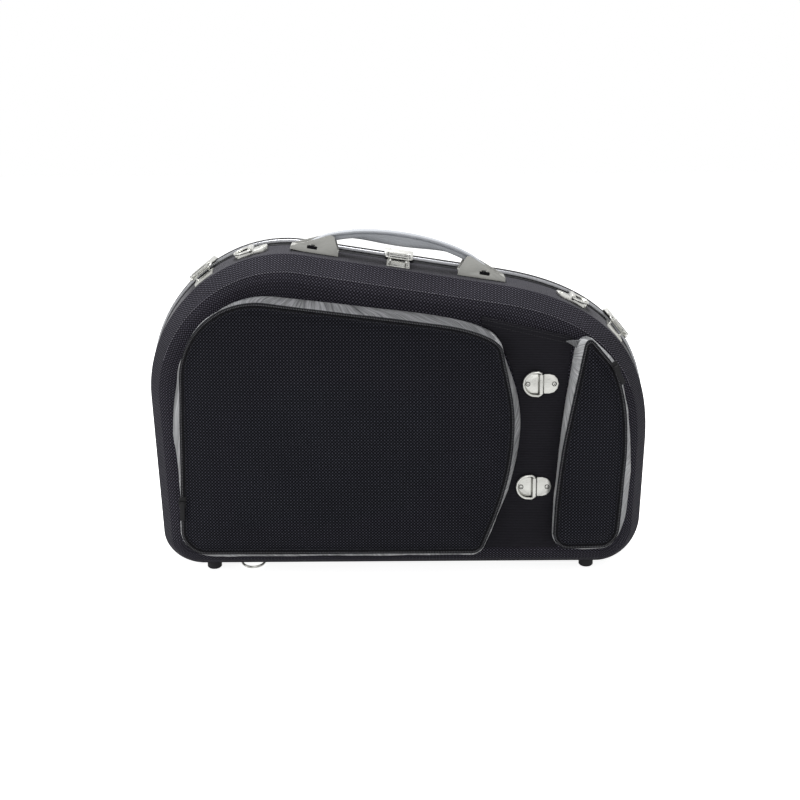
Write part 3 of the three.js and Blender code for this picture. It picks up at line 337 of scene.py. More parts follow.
class Outline:
    """Corners at shares of a box, each rounded by a curve, inset as a whole by any distance."""

    def __init__(self, shares, left, bottom, width, height, like=None):
        corners = [Vector((left + x * width, bottom + z * height)) for x, z, *_ in shares]
        self.corners = []
        for index, (_, _, cut_before, cut_after, pull_before, pull_after, steps) in enumerate(shares):
            corner = corners[index]
            before = (corners[index - 1] - corner).normalized()
            after = (corners[(index + 1) % len(corners)] - corner).normalized()
            self.corners.append({
                "corner": corner, "ways": (before, after), "opening": before.angle(after),
                "cuts": (cut_before * height, cut_after * height), "pulls": (pull_before, pull_after),
                "steps": steps * FINER,
            })
        self.between = like.between if like else self.edge_counts()

    def edge_counts(self):
        ends = [(curve[0], curve[-1]) for curve in self.curves(0)]
        gaps = [(ends[(i + 1) % len(ends)][0] - ends[i][1]).length for i in range(len(ends))]
        return [max(1, round(length / EDGE_STEP)) for length in gaps]

    def curves(self, distance):
        places, cuts = [], []
        for data in self.corners:
            before, after = data["ways"]
            places.append((before + after) * (distance / math.sin(data["opening"])) + data["corner"])
            shift = distance / math.tan(data["opening"] / 2)
            cuts.append([max(cut - shift, cut * LEAST_CUT) for cut in data["cuts"]])
        for index, place in enumerate(places):
            after = (index + 1) % len(places)
            room = (places[after] - place).length * ROOM_USED
            fit = min(1, room / (cuts[index][1] + cuts[after][0]))
            cuts[index][1] *= fit
            cuts[after][0] *= fit
        curves = []
        for data, place, (cut_before, cut_after) in zip(self.corners, places, cuts):
            (before, after), (pull_before, pull_after) = data["ways"], data["pulls"]
            knots = [
                place + before * cut_before, place + before * cut_before * (1 - pull_before),
                place + after * cut_after * (1 - pull_after), place + after * cut_after,
            ]
            curves.append([bezier(knots, step / data["steps"]) for step in range(data["steps"] + 1)])
        return curves

    def points(self, distance=0.0):
        curves = self.curves(distance)
        found = []
        for index, curve in enumerate(curves):
            found += curve
            start, end = curve[-1], curves[(index + 1) % len(curves)][0]
            count = self.between[index]
            found += [start.lerp(end, step / count) for step in range(1, count)]
        return found

    def ring(self, distance, depth, side=FRONT):
        return ring(self.points(distance), depth, side)


def bezier(knots, t):
    s = 1 - t
    a, b, c, d = knots
    return a * s**3 + b * (3 * s * s * t) + c * (3 * s * t * t) + d * t**3


def ring(points, depth, side=FRONT):
    return [Vector((p.x, PARTING_Y + side * depth, p.y)) for p in points]


# A corner: its place in the box, the cuts before and after it, their pulls, the steps of its curve
shell_shares = [
    (0.013, 0, 0.13, 0.11, 0.55, 0.55, 8), (-0.016, 1.075, 0.53, 0.51, 0.5, 0.5, 10),
    (1.01, 0.827, 0.48, 0.43, 0.65, 0.7, 10), (0.992, 0, 0.15, 0.14, 0.55, 0.55, 8),
]
large_panel_shares = [
    (-0.001, 0.001, 0.088, 0.088, 0.55, 0.55, 6), (0.022, 0.993, 0.31, 0.308, 0.545, 0.54, 9),
    (0.911, 0.845, 0.23, 0.067, 0.6, 0.6, 7), (0.985, 0.402, 0.222, 0.298, 0.52, 0.71, 4),
    (0.867, -0.001, 0.029, 0.028, 0.57, 0.57, 6),
]
large_gusset_shares = [
    (0.023, -0.004, 0.174, 0.112, 0.54, 0.54, 6), (-0.018, 1.017, 0.582, 0.414, 0.58, 0.58, 9),
    (0.911, 0.878, 0.3, 0.06, 0.59, 0.6, 7), (1.046, 0.495, 0.236, 0.353, 0.53, 0.72, 4),
    (0.888, 0.004, 0.032, 0.04, 0.55, 0.55, 6),
]
small_panel_shares = [
    (0.015, -0.002, 0.06, 0.069, 0.55, 0.55, 5), (0.05, 0.336, 0.194, 0.188, 0.5, 0.5, 3),
    (0.432, 0.955, 0.033, 0.03, 0.55, 0.55, 6), (1.055, 0.728, 0.157, 0.344, 0.56, 0.61, 4),
    (0.901, 0.004, 0.084, 0.064, 0.55, 0.55, 5),
]
small_gusset_shares = [
    (0.016, -0.006, 0.056, 0.065, 0.55, 0.55, 5), (0.02, 0.386, 0.15, 0.294, 0.5, 0.5, 3),
    (0.28, 0.994, 0.105, 0.1, 0.54, 0.54, 6), (1.0, 0.78, 0.138, 0.352, 0.56, 0.61, 4),
    (0.953, 0.01, 0.222, 0.083, 0.53, 0.54, 5),
]
SHELL_WIDTH, SHELL_HEIGHT, SHELL_LIFT = 604, 395, 8
unplaced = Outline(shell_shares, 0, SHELL_LIFT, SHELL_WIDTH, SHELL_HEIGHT).points()
shell_middle = (min(p.x for p in unplaced) + max(p.x for p in unplaced)) / 2
shell_outline = Outline(shell_shares, -shell_middle, SHELL_LIFT, SHELL_WIDTH, SHELL_HEIGHT)
large_panel = Outline(large_panel_shares, -257, 47, 405, 311)
large_gusset = Outline(large_gusset_shares, -269, 31, 412, 331, large_panel)
small_panel = Outline(small_panel_shares, 184, 52, 80, 262)
small_gusset = Outline(small_gusset_shares, 182, 40, 95, 276, small_panel)

# Profile of a half as [inset, depth], from its edge to the flat of its face
EDGE, RIDGE_A, RIDGE_B, SHOULDER, FACE = (0.30, 4.3), (3.85, 55), (18.85, 85), (28.85, 92), (44.85, 95)
FACE_DEPTH, STRAP_DEPTH, GUSSET_FRONT = 95, 97.1, 116


# Making pieces

def only(obj):
    bpy.ops.object.select_all(action="DESELECT")
    obj.select_set(True)
    bpy.context.view_layer.objects.active = obj
    return obj


def apply_modifier(obj, kind, **settings):
    modifier = obj.modifiers.new(kind.lower(), kind)
    for key, value in settings.items():
        setattr(modifier, key, value)
    only(obj)
    bpy.ops.object.modifier_apply(modifier=modifier.name)


def made(operator, name, **settings):
    """A new piece from one of Blender's own shapes."""
    bpy.ops.object.select_all(action="DESELECT")
    operator(**settings)
    obj = bpy.context.object
    obj.name = obj.data.name = name
    return obj


def loft(name, rings, looped=False):
    """A skin drawn through rings of equally many points, closed on itself or by an end face each."""
    obj = made(bpy.ops.mesh.primitive_circle_add, name, vertices=len(rings[0]), radius=1)
    for vertex, point in zip(obj.data.vertices, rings[0]):
        vertex.co = point * MM
    bpy.ops.object.mode_set(mode="EDIT")
    bpy.ops.mesh.select_all(action="SELECT")
    if not looped:
        bpy.ops.mesh.edge_face_add()
    for points in rings[1:] + (rings[:1] if looped else []):
        bpy.ops.mesh.extrude_region()
        mesh = bmesh.from_edit_mesh(obj.data)
        for vertex, point in zip([v for v in mesh.verts if v.select], points):
            vertex.co = point * MM
        bmesh.update_edit_mesh(obj.data)
    bpy.ops.object.mode_set(mode="OBJECT")
    obj.matrix_world = Matrix.Identity(4)
    lay_out_cloth(obj, rings)
    bpy.ops.object.mode_set(mode="EDIT")
    bpy.ops.mesh.select_all(action="SELECT")
    if looped:
        bpy.ops.mesh.remove_doubles(threshold=1e-6)
    bpy.ops.mesh.normals_make_consistent(inside=False)
    bpy.ops.object.mode_set(mode="OBJECT")
    return obj


def cloth_layer(obj):
    layers = obj.data.uv_layers
    return layers.get("Cloth") or layers.new(name="Cloth")


def lay_out_cloth(obj, rings):
    """The cloth's own measure in metres: along the rings, and across from ring to ring."""
    count = len(rings[0])
    longest = max(rings, key=lambda points: sum((a - b).length for a, b in zip(points, points[1:])))
    along = [0.0]
    for index in range(count):
        along.append(along[-1] + (longest[(index + 1) % count] - longest[index]).length * MM)
    across = [0.0]
    for before, after in zip(rings, rings[1:] + rings[:1]):
        across.append(across[-1] + (after[0] - before[0]).length * MM)
    layer = cloth_layer(obj)
    for face in obj.data.polygons:
        ends_round = {0, count - 1} <= {i % count for i in face.vertices}
        for loop, vertex in zip(face.loop_indices, face.vertices):
            place = obj.data.vertices[vertex].co
            if len(face.vertices) > 4:
                layer.data[loop].uv = (place.x, place.z)
                continue
            row, column = divmod(vertex, count)
            column = count if ends_round and column == 0 else column
            layer.data[loop].uv = (along[column], across[row])


def lay_flat(obj):
    """Cloth cut flat and laid on the front: its measure is the place seen from the front."""
    layer = cloth_layer(obj)
    for loop in obj.data.loops:
        place = obj.data.vertices[loop.vertex_index].co
        layer.data[loop.index].uv = (place.x, place.z)


def wears(obj, material):
    obj.data.materials.clear()
    obj.data.materials.append(material)
    for face in obj.data.polygons:
        face.material_index = 0


def dressed(obj, body, slot, material=None, replaces=(), degrees=40):
    """Finishes a piece: its shading, material, body and the CAD nodes that it stands for."""
    only(obj)
    bpy.ops.object.shade_smooth_by_angle(angle=math.radians(degrees))
    wears(obj, material or slot_finishes[slot])
    if body:
        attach(obj, body)
    if replaces:
        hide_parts(*replaces)
    return obj


def repainted(obj, material, chosen):
    """Gives the faces for which the test holds a second material."""
    obj.data.materials.append(material)
    for face in obj.data.polygons:
        face.material_index = int(chosen(face))


def body_of(node):
    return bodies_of(frame["nodes"][node])[0]


def copied(node, name):
    source = frame["nodes"][node]
    obj = bpy.data.objects.new(name, source.data.copy())
    bpy.context.scene.collection.objects.link(obj)
    obj.data.transform(source.matrix_world)
    only(obj)
    bpy.ops.object.mode_set(mode="EDIT")
    bpy.ops.mesh.select_all(action="SELECT")
    bpy.ops.mesh.remove_doubles(threshold=1e-5)
    bpy.ops.mesh.dissolve_limited(angle_limit=math.radians(1))
    bpy.ops.mesh.normals_make_consistent(inside=False)
    bpy.ops.object.mode_set(mode="OBJECT")
    return obj


def seat(obj):
    """Carries the underside of a piece on the top wall down to the cover, which lies lower there."""
    for vertex in obj.data.vertices:
        _, normal, _, distance = front_skin.find_nearest(vertex.co)
        if normal.z > SEAT_FACING and distance < SEAT_REACH * MM:
            vertex.co.z -= TOP_LEAN * normal.z * max(0, PARTING_Y * MM - vertex.co.y)


def softened(node, slot, radius=0.35, angle=30, material=None, segments=2, seated=False, shape=None):
    """The CAD solid with its sharp edges broken by a small radius."""
    obj = copied(node, f"{node}_finished")
    if shape:
        shape(obj)
    if seated:
        seat(obj)
    apply_modifier(
        obj, "BEVEL", width=radius * MM, segments=segments, limit_method="ANGLE",
        angle_limit=math.radians(angle), use_clamp_overlap=True,
    )
    return dressed(obj, body_of(node), slot, material, [node])


def outwards(points, index):
    """The way out of a closed row of points at one of them, level with the row."""
    along = points[(index + 1) % len(points)] - points[index - 1]
    return Vector((-along.z, 0, along.x)).normalized()


def skin_of(node):
    source = frame["nodes"][node].data
    return BVHTree.FromPolygons([v.co for v in source.vertices], [p.vertices for p in source.polygons])


SEAT_FACING, SEAT_REACH = 0.3, 0.8
front_skin = skin_of("front_shell")


def moved_profile(profile, distance):
    """The profile moved towards the inside of the half; a negative distance moves it out."""
    inwards = 26  # any length does, since only the direction counts
    ends = [*profile, (profile[-1][0] + inwards, profile[-1][1])]
    moved = []
    for index, place in enumerate(profile):
        here = Vector(place)
        after = (Vector(ends[index + 1]) - here).normalized()
        before = (here - Vector(profile[index - 1])).normalized() if index else after
        normal = Vector((before.y + after.y, -before.x - after.x)).normalized()
        stretch = 1 / normal.dot(Vector((after.y, -after.x)))
        moved.append(tuple(here + normal * distance * stretch))
    return moved


def rounded(profile, cuts, step=8.0, turns=4):
    """The profile with its inner corners rounded and its long spans divided."""
    found = [Vector(profile[0])]
    for index in range(1, len(profile) - 1):
        before, here, after = (Vector(profile[index + k]) for k in (-1, 0, 1))
        start = here + (before - here).normalized() * cuts[index - 1]
        end = here + (after - here).normalized() * cuts[index - 1]
        for turn in range(turns + 1):
            t = turn / turns
            found.append(start * (1 - t) ** 2 + here * (2 * t * (1 - t)) + end * t * t)
    found.append(Vector(profile[-1]))
    filled = [found[0]]
    for place in found[1:]:
        pieces = max(1, math.ceil((place - filled[-1]).length / step))
        start = filled[-1]
        filled += [start.lerp(place, k / pieces) for k in range(1, pieces + 1)]
    return [tuple(place) for place in filled]


BLOCK_ROUNDING = 0.3


def along_line(name, points, depth, size, pitch, closed=True):
    """Equal rounded blocks, such as teeth or stitches, in a row along a line on the front."""
    path = bpy.data.curves.new(name + "_path", "CURVE")
    path.dimensions = "2D"
    spline = path.splines.new("POLY")
    spline.points.add(len(points) - 1)
    for knot, point in zip(spline.points, points):
        knot.co = (point.x * MM, point.y * MM, 0, 1)
    spline.use_cyclic_u = closed
    guide = bpy.data.objects.new(name + "_path", path)
    bpy.context.scene.collection.objects.link(guide)
    pairs = zip(points, points[1:] + (points[:1] if closed else []))
    length = sum((b - a).length for a, b in pairs)
    count = max(1, round(length / pitch))
    block = made(bpy.ops.mesh.primitive_cube_add, name, size=MM)
    block.scale = size
    bpy.ops.object.transform_apply(scale=True)
    apply_modifier(block, "BEVEL", width=min(size) * BLOCK_ROUNDING * MM, segments=1)
    apply_modifier(
        block, "ARRAY", fit_type="FIXED_COUNT", count=count, use_relative_offset=False,
        use_constant_offset=True, constant_offset_displace=(length / count * MM, 0, 0),
    )
    apply_modifier(block, "CURVE", object=guide, deform_axis="POS_X")
    bpy.data.objects.remove(guide)
    only(block)
    upright = Matrix.Rotation(math.pi / 2, 4, "X")
    block.data.transform(Matrix.Translation((0, (PARTING_Y - depth) * MM, 0)) @ upright)
    return block


# Covers: woven cloth over the two moulded halves

half_profile = [EDGE, RIDGE_A, RIDGE_B, SHOULDER, FACE]
COVER = 2.2
TOP_LEAN, LEAN_DEPTH = 0.062, 86
WALL_SLOPE = 0.07
BOTTOM_DROP, DROP_START, DROP_LENGTH = 1.8, 30, 30
outer_profile = rounded(half_profile, (1.3, 2.2, 4))
inner_profile = moved_profile(half_profile, COVER)


def shell_ring(across, depth, side=FRONT):
    """A ring of a cover: its top slopes more, and its bottom lies lower away from the rim."""
    points = shell_outline.ring(across, depth, side)
    lean = TOP_LEAN * min(depth, LEAN_DEPTH)
    drop = BOTTOM_DROP * max(0, min(1, (depth - DROP_START) / DROP_LENGTH))
    ways = [outwards(points, i).z for i in range(len(points))]
    return [p - Vector((0, 0, lean * max(0, way) + drop * max(0, -way))) for p, way in zip(points, ways)]


def add_cover(name, node, side):
    outer = [shell_ring(across, depth, side) for across, depth in reversed(outer_profile)]
    inner = [shell_ring(across, depth, side) for across, depth in inner_profile]
    inner[0] = shell_ring(inner_profile[0][0], EDGE[1], side)
    obj = dressed(loft(name, outer + inner), body_of(node), "shell_cloth", replaces=[node], degrees=50)
    # Wall faces shallower than ridge A get the lighter copy of the weave: painted light, given to the wall
    # all around
    repainted(obj, wall_cloth_painted_light, lambda face: (face.center.y / MM - PARTING_Y) * side < RIDGE_A[1])


add_cover("front_cover", "front_shell", FRONT)
add_cover("back_cover", "back_shell", BACK)


BINDING_SECTION = [
    (0.6, 8.2), (-0.3, 8.3), (-0.5, 8.9), (-0.5, 16.3), (0.1, 17.2), (0.7, 17.4), (1.6, 16), (1.4, 9),
]


def add_edge_binding(name, body, side):
    """A narrow black tape on the wall beside the rim."""
    rings = [shell_ring(across + depth * WALL_SLOPE, depth, side) for across, depth in BINDING_SECTION]
    dressed(loft(name, rings, looped=True), body, "nylon", binding)


add_edge_binding("front_edge_binding", "front_half", FRONT)
add_edge_binding("back_edge_binding", "back_half", BACK)

# A row of small light dots along ridge B where it faces up, raised a little like stitches: a painted
# highlight of the ridge catching the light
HIGHLIGHT_DOT_INSET, HIGHLIGHT_DOT_PROUD, LIT_RIDGE_FACING = 0.3, 0.35, 0.3
ridge_line = shell_ring(RIDGE_B[0] + HIGHLIGHT_DOT_INSET, RIDGE_B[1])
ways_up = [outwards(ridge_line, index).z for index in range(len(ridge_line))]
upper_ridge = [Vector((p.x, p.z)) for p, way_up in zip(ridge_line, ways_up) if way_up > LIT_RIDGE_FACING]
ridge_highlight_dots = along_line(
    "ridge_highlight_dots", upper_ridge, RIDGE_B[1] + HIGHLIGHT_DOT_PROUD, (1.6, 0.7, 0.5), 3.4, closed=False,
)
dressed(ridge_highlight_dots, "front_half", "shell_cloth", ridge_painted_highlight)

# Rims: the bright aluminium bands on the two edges

RIM_DEPTH, RIM_FLANGE, RIM_SEAM, RIM_FOOT = 8, 4, 0.15, 0.3
RIM_SIDE_FACING, RIM_SINK = 0.5, 0.7
HINGE_PLACES, HINGE_HEIGHT, HINGE_ROOM = (-114.76, 114.76), 6.2, (51.2, 17, 4.2)


def rim_section(side):
    if side == FRONT:
        tongue = [(0.3, RIM_SEAM), (0.3, 2.3), (2.7, 2.3), (2.7, RIM_SEAM)]
    else:
        tongue = [(0.6, RIM_SEAM), (0.6, -1.7), (2.4, -1.7), (2.4, RIM_SEAM)]
    outside = [
        (-RIM_FOOT, RIM_FLANGE), (-RIM_FOOT, RIM_DEPTH), (-2.5, RIM_DEPTH), (-3.1, RIM_DEPTH - 0.15),
        (-3.4, RIM_DEPTH - 0.5), (-3.5, RIM_DEPTH - 1.1), (-3.5, 5.0), (-3.15, 4.8), (-3.15, 4.2),
        (-3.5, 4.0), (-3.5, 0.5), (-3.25, RIM_SEAM),
    ]
    return [*tongue, (4.3, RIM_SEAM), (4.3, RIM_FLANGE), *outside]


def notched(obj):
    """Leaves room for the two hinges on the underside."""
    for x in HINGE_PLACES:
        place = (x * MM, PARTING_Y * MM, HINGE_HEIGHT * MM)
        cutter = made(bpy.ops.mesh.primitive_cube_add, "hinge_room", size=MM, location=place)
        cutter.scale = HINGE_ROOM
        apply_modifier(obj, "BOOLEAN", object=cutter, operation="DIFFERENCE", solver="EXACT")
        bpy.data.objects.remove(cutter)
    return obj


def rim_ring(across, depth, side=FRONT):
    """A ring of a rim: it stands out most on top and sinks to the wall at the sides."""
    points = shell_outline.ring(across, depth, side)
    sunk = RIM_SINK * max(0, -across - RIM_FOOT)
    ways = [outwards(points, i) for i in range(len(points))]
    return [p - way * (sunk * (1 - max(0, way.z))) for p, way in zip(points, ways)]


def add_rim(name, node, side):
    rings = [rim_ring(across, depth, side) for across, depth in rim_section(side)]
    band = notched(loft(name, rings, looped=True))
    dressed(band, body_of(node), "rim_metal", replaces=[node], degrees=35)
    # Faces that don't face front or back, and the whole back rim, get the darker copy: painted shade
    repainted(band, rim_painted_shade, lambda face: side == BACK or abs(face.normal.y) < RIM_SIDE_FACING)


add_rim("front_rim_band", "front_rim", FRONT)
add_rim("back_rim_band", "back_rim", BACK)
seal_section = [(-4.4, -0.1), (-4.6, 0.2), (-4.6, 2.5), (-4.4, 2.8), (-2.8, 2.8), (-2.8, -0.1)]
seal_rings = [rim_ring(across, depth) for across, depth in seal_section]
dressed(notched(loft("parting_seal", seal_rings, looped=True)), "front_half", "nylon", seal_rubber)


# Liners: plush over foam

LINER_VOXEL = 3.6


def add_liner(name, node):
    obj = copied(node, name)
    apply_modifier(obj, "REMESH", mode="VOXEL", voxel_size=LINER_VOXEL * MM, adaptivity=0.0)
    apply_modifier(obj, "SMOOTH", factor=0.5, iterations=5)
    dressed(obj, body_of(node), "plush", replaces=[node], degrees=180)


add_liner("front_plush_liner", "front_liner")
add_liner("back_plush_liner", "back_liner")


# Pockets

GUSSET_OUT, GUSSET_THICK = 2.4, 2.4  # how far past the panel the view runs, thickness of the cloth
FOLD_SWELL, FOLD_WAVE, EDGE_WAVE, WAVE_GRAIN = 0.8, 1.8, 0.5, 0.035
CROWN_WAVE, CROWN_GRAIN = 0.7, 0.016
WAVE_SEED, CROWN_SEED = 37.0, 11.0  # steps through the noise from seed to seed
SIDE_FACING, LOW_FACING = 0.5, -0.3
ZIP_SECTION = [(-2.3, 113.4), (-2.3, 115.6), (-2.1, 115.9), (-0.5, 115.9), (-0.3, 115.6), (-0.3, 113.4)]
HEM_SECTION = [(0.2, 115.9), (0.4, 116.5), (1.1, 116.8), (1.8, 116.5), (2.0, 115.9)]
TEETH_INSET, TEETH_DEPTH = -1.3, GUSSET_FRONT - 0.1
STITCHES_INSET, STITCHES_DEPTH = 3.0, 116.15


def waver(points, size, grains, seed):
    """A ring moved in and out by a slow uneven wave."""
    moved = []
    for index, point in enumerate(points):
        wave = noise.noise(Vector((point.x, point.z, seed * WAVE_SEED)) * grains)
        moved.append(point + outwards(points, index) * (size * wave))
    return moved


def share_at(height, table):
    """The share at a height, from a table of [height, share]."""
    for (low, before), (high, after) in zip(table, table[1:]):
        if height < high:
            return before + (after - before) * max(0, (height - low) / (high - low))
    return table[-1][1]


def hidden_behind(point, depth):
    """The place at a depth that a point of the panel's edge hides."""
    eye = EYE / MM
    return eye + (point - eye) * ((PARTING_Y - depth - eye.y) / (point.y - eye.y))


def gusset_foot(panel, base, inset, tables, depth):
    """The foot of a pocket's side: wide along the sides and drawn in to the panel's corners."""
    edge = panel.ring(inset - GUSSET_OUT, GUSSET_FRONT)
    foot = base.ring(inset, depth)
    left, right, low_share = tables
    drawn = []
    for index, (near, far) in enumerate(zip(edge, foot)):
        way = outwards(foot, index)
        share = share_at(far.z, left if way.x < 0 else right)
        share += (1 - share) * max(0, way.z) ** 2
        share = max(share, low_share * -way.z)
        drawn.append(hidden_behind(near, depth).lerp(far, share))
    return drawn


def add_gusset(name, node, panel, base, hidden_depth, tables, seed):
    foot, outer, inner, neck = STRAP_DEPTH, -3.4, -2.6, GUSSET_FRONT - 2.9
    rings = [gusset_foot(panel, base, 0, tables, depth) for depth in (hidden_depth, FACE_DEPTH - 2)]
    steps = 7
    start, end = gusset_foot(panel, base, -0.2, tables, foot), panel.ring(outer, neck)
    for step in range(steps + 1):
        share = step / steps
        line = [a.lerp(b, share) for a, b in zip(start, end)]
        swell = math.sin(math.pi * share)
        line = [p + outwards(line, i) * (FOLD_SWELL * swell) for i, p in enumerate(line)]
        rings.append(waver(line, FOLD_WAVE * swell + EDGE_WAVE, WAVE_GRAIN, seed + share))
    rings += [
        waver(panel.ring(outer, GUSSET_FRONT - 0.5), EDGE_WAVE, WAVE_GRAIN, seed + 1),
        panel.ring(outer + 0.3, GUSSET_FRONT), panel.ring(inner, GUSSET_FRONT), panel.ring(inner, neck),
        gusset_foot(panel, base, GUSSET_THICK, tables, foot),
        gusset_foot(panel, base, GUSSET_THICK, tables, hidden_depth),
    ]
    obj = loft(name, rings, looped=True)
    dressed(obj, body_of(node), "gusset_cloth", replaces=[node], degrees=60)
    for finish in (gusset_painted_light, gusset_painted_shade):
        obj.data.materials.append(finish)
    for face in obj.data.polygons:
        # The lip near the panel's front gets the darker copy: painted shade where the cloth turns under the
        # zip
        shaded_lip = PARTING_Y - face.center.y / MM > neck - 0.1
        # Faces that face the sides or down get the lighter copy: painted light and sheen
        painted_light_face = abs(face.normal.x) > SIDE_FACING or face.normal.z < LOW_FACING
        face.material_index = 2 if shaded_lip else int(painted_light_face)


def add_zip(name, node, panel):
    rings = [panel.ring(across, depth) for across, depth in ZIP_SECTION]
    dressed(loft(f"{name}_tape", rings, looped=True), body_of(node), "zip_plastic", binding, [node])
    teeth = along_line(f"{name}_teeth", panel.points(TEETH_INSET), TEETH_DEPTH, (1.0, 1.7, 0.8), 1.9)
    dressed(teeth, body_of(node), "zip_plastic", zip_plastic, degrees=60)


def uneven(points, seed):
    """A ring moved in depth by a slow wave, like cloth over padding."""
    waves = [noise.noise(Vector((p.x, p.z, seed * CROWN_SEED)) * CROWN_GRAIN) for p in points]
    return [p + Vector((0, CROWN_WAVE * wave, 0)) for p, wave in zip(points, waves)]


def add_panel(name, node, panel, crown, border, seed):
    hem, back = 6, GUSSET_FRONT - 2.4
    section = [
        (border, back), (0.2, back), (0, back + 0.4), (0, 115.6), (0.4, GUSSET_FRONT),
        (hem * 0.5, GUSSET_FRONT + 0.1), (hem, GUSSET_FRONT),
    ]
    rings = [panel.ring(across, depth) for across, depth in section]
    steps = 12
    for step in range(1, steps + 1):
        share = (step / steps) ** 1.4
        rise = crown * (1 - (1 - share) ** 3.3)
        rings.append(panel.ring(hem + share * (border - hem), GUSSET_FRONT + rise))
    middle = sum(rings[-1], Vector()) / len(rings[-1])
    edge = rings[-1]
    rings += [[p.lerp(middle, share) for p in edge] for share in (0.25, 0.5, 0.75, 0.93)]
    still = len(section) + 1
    obj = loft(name, rings[:still] + [uneven(points, seed) for points in rings[still:]])
    lay_flat(obj)
    dressed(obj, body_of(node), "pocket_mesh", replaces=[node], degrees=50)
    hem_rings = [panel.ring(across, depth) for across, depth in HEM_SECTION]
    dressed(loft(f"{name}_hem", hem_rings, looped=True), body_of(node), "pocket_mesh", binding)
    stitches = along_line(
        f"{name}_stitches", panel.points(STITCHES_INSET), STITCHES_DEPTH, (2.0, 0.5, 0.4), 3.0,
    )
    dressed(stitches, body_of(node), "pocket_mesh", thread)


# Shares of a gusset's foot as [height, share]: its left side, its right side, then the share at the bottom
large_tables = (
    [(40, 0), (60, 0.1), (120, 0.65), (185, 1), (230, 0.75), (285, 0.4), (335, 0.9)],
    [(40, 0.3), (90, 0.65), (150, 0.9), (190, 1), (240, 0.85), (300, 0.6), (330, 0.9)],
    0.4,
)
small_tables = (
    [(40, 0.1), (85, 0.45), (160, 0.8), (220, 1), (300, 1)],
    [(40, 0), (60, 0.3), (90, 0.8), (140, 1), (205, 0.5), (240, 0.25), (300, 0.5)],
    0.2,
)
add_gusset("large_pocket_side", "large_pocket_gusset", large_panel, large_gusset, 84, large_tables, 1)
add_gusset("small_pocket_side", "small_pocket_gusset", small_panel, small_gusset, 70, small_tables, 7)
add_zip("large_zip", "large_pocket_zip", large_panel)
add_zip("small_zip", "small_pocket_zip", small_panel)
add_panel("large_pocket_front", "large_pocket_panel", large_panel, 9, 70, 2)
add_panel("small_pocket_front", "small_pocket_panel", small_panel, 6, 26, 5)

tab = [Vector((193.8, 0, 298.0)), Vector((211, 0, 299.2)), Vector((207, 0, 289.5))]
tab_rings = [[p + Vector((0, depth, 0)) for p in tab] for depth in (-85.2, -84.4, -83.0)]
dressed(loft("small_pocket_tab", tab_rings), "front_half", "gusset_cloth")

# Strap panel between the pockets

softened("strap_panel", "nylon", 0.5, material=strap_cloth)

SEAM_LEFT, SEAM_RIGHT, SEAM_DEPTH = Vector((98, 326.5)), Vector((204, 301.5)), STRAP_DEPTH - 0.1
for number, drop in enumerate((3.0, 8.0)):
    points = [SEAM_LEFT.lerp(SEAM_RIGHT, k / 12) - Vector((0, drop)) for k in range(13)]
    stitches = along_line(
        f"strap_panel_seam_{number}", points, SEAM_DEPTH, (2.2, 0.6, 0.4), 3.2, closed=False,
    )
    dressed(stitches, "front_half", "nylon", thread)

# Hardware with broken edges

def middle_of(node):
    corners = frame["nodes"][node].data.vertices
    return sum((v.co for v in corners), Vector()) / len(corners)


def way_out(place):
    """The way out of the case's outline at the point of it nearest to a place."""
    line = shell_outline.ring(0, 0)
    nearest = min(
        range(len(line)),
        key=lambda i: (line[i] * MM - Vector((place.x, line[i].y * MM, place.z))).length,
    )
    return outwards(line, nearest)


def widened(share, middle, along):
    """A shape function: stretches a piece along the rim."""
    def shape(obj):
        for vertex in obj.data.vertices:
            vertex.co += along * ((vertex.co - middle).dot(along) * (share - 1))
            vertex.co.y = max(vertex.co.y, LATCH_FRONT * MM)
    return shape


def corner_rounded(shape, way, radius):
    """A shape function: the shape, with the corners that run along the way rounded."""
    def both(obj):
        shape(obj)
        weights = obj.data.attributes.new("bevel_weight_edge", "FLOAT", "EDGE")
        for edge in obj.data.edges:
            start, end = (obj.data.vertices[i].co for i in edge.vertices)
            weights.data[edge.index].value = float(abs((end - start).normalized().dot(way)) > CORNER_FACING)
        apply_modifier(obj, "BEVEL", width=radius * MM, segments=4, limit_method="WEIGHT")
    return both


LATCH_FRONT, LATCH_CORNER, CORNER_FACING = -31, 2.6, 0.95
LATCH_WIDER = {"keeper": 1.0, "base": 1.3, "lever": 1.3, "loop": 1.3}
for place in ("left", "centre", "right"):
    middle = middle_of(f"latch_keeper_{place}")
    out = way_out(middle)
    along = Vector((out.z, 0, -out.x))
    for part, share in LATCH_WIDER.items():
        shape = widened(share, middle, along)
        if part in ("keeper", "base"):
            shape = corner_rounded(shape, out, LATCH_CORNER)
        softened(f"latch_{part}_{place}", "nickel", 0.3, seated=part == "base", shape=shape)
plates = {}
for place in ("upper", "lower", "top_left", "top_right", "bottom"):
    plates[place] = softened(f"strap_plate_{place}", "nickel", 0.4, seated=True)
    softened(f"strap_ring_{place}", "nickel", 0.2, angle=60)


def front_of(obj, x, z):
    """The place on the front of a piece at that width and height."""
    tree = BVHTree.FromPolygons([v.co for v in obj.data.vertices], [f.vertices for f in obj.data.polygons])
    return tree.ray_cast(Vector((x * MM, -0.5, z * MM)), Vector((0, 1, 0)))[0]


def small_round(name, place, radius, proud, finish):
    """A low dome that faces the front."""
    obj = made(bpy.ops.mesh.primitive_uv_sphere_add, name, segments=20, ring_count=10, radius=radius * MM)
    obj.data.transform(Matrix.Translation(place) @ Matrix.Diagonal((1, proud / radius, 1, 1)))
    dressed(obj, "front_half", "nickel", finish, degrees=80)


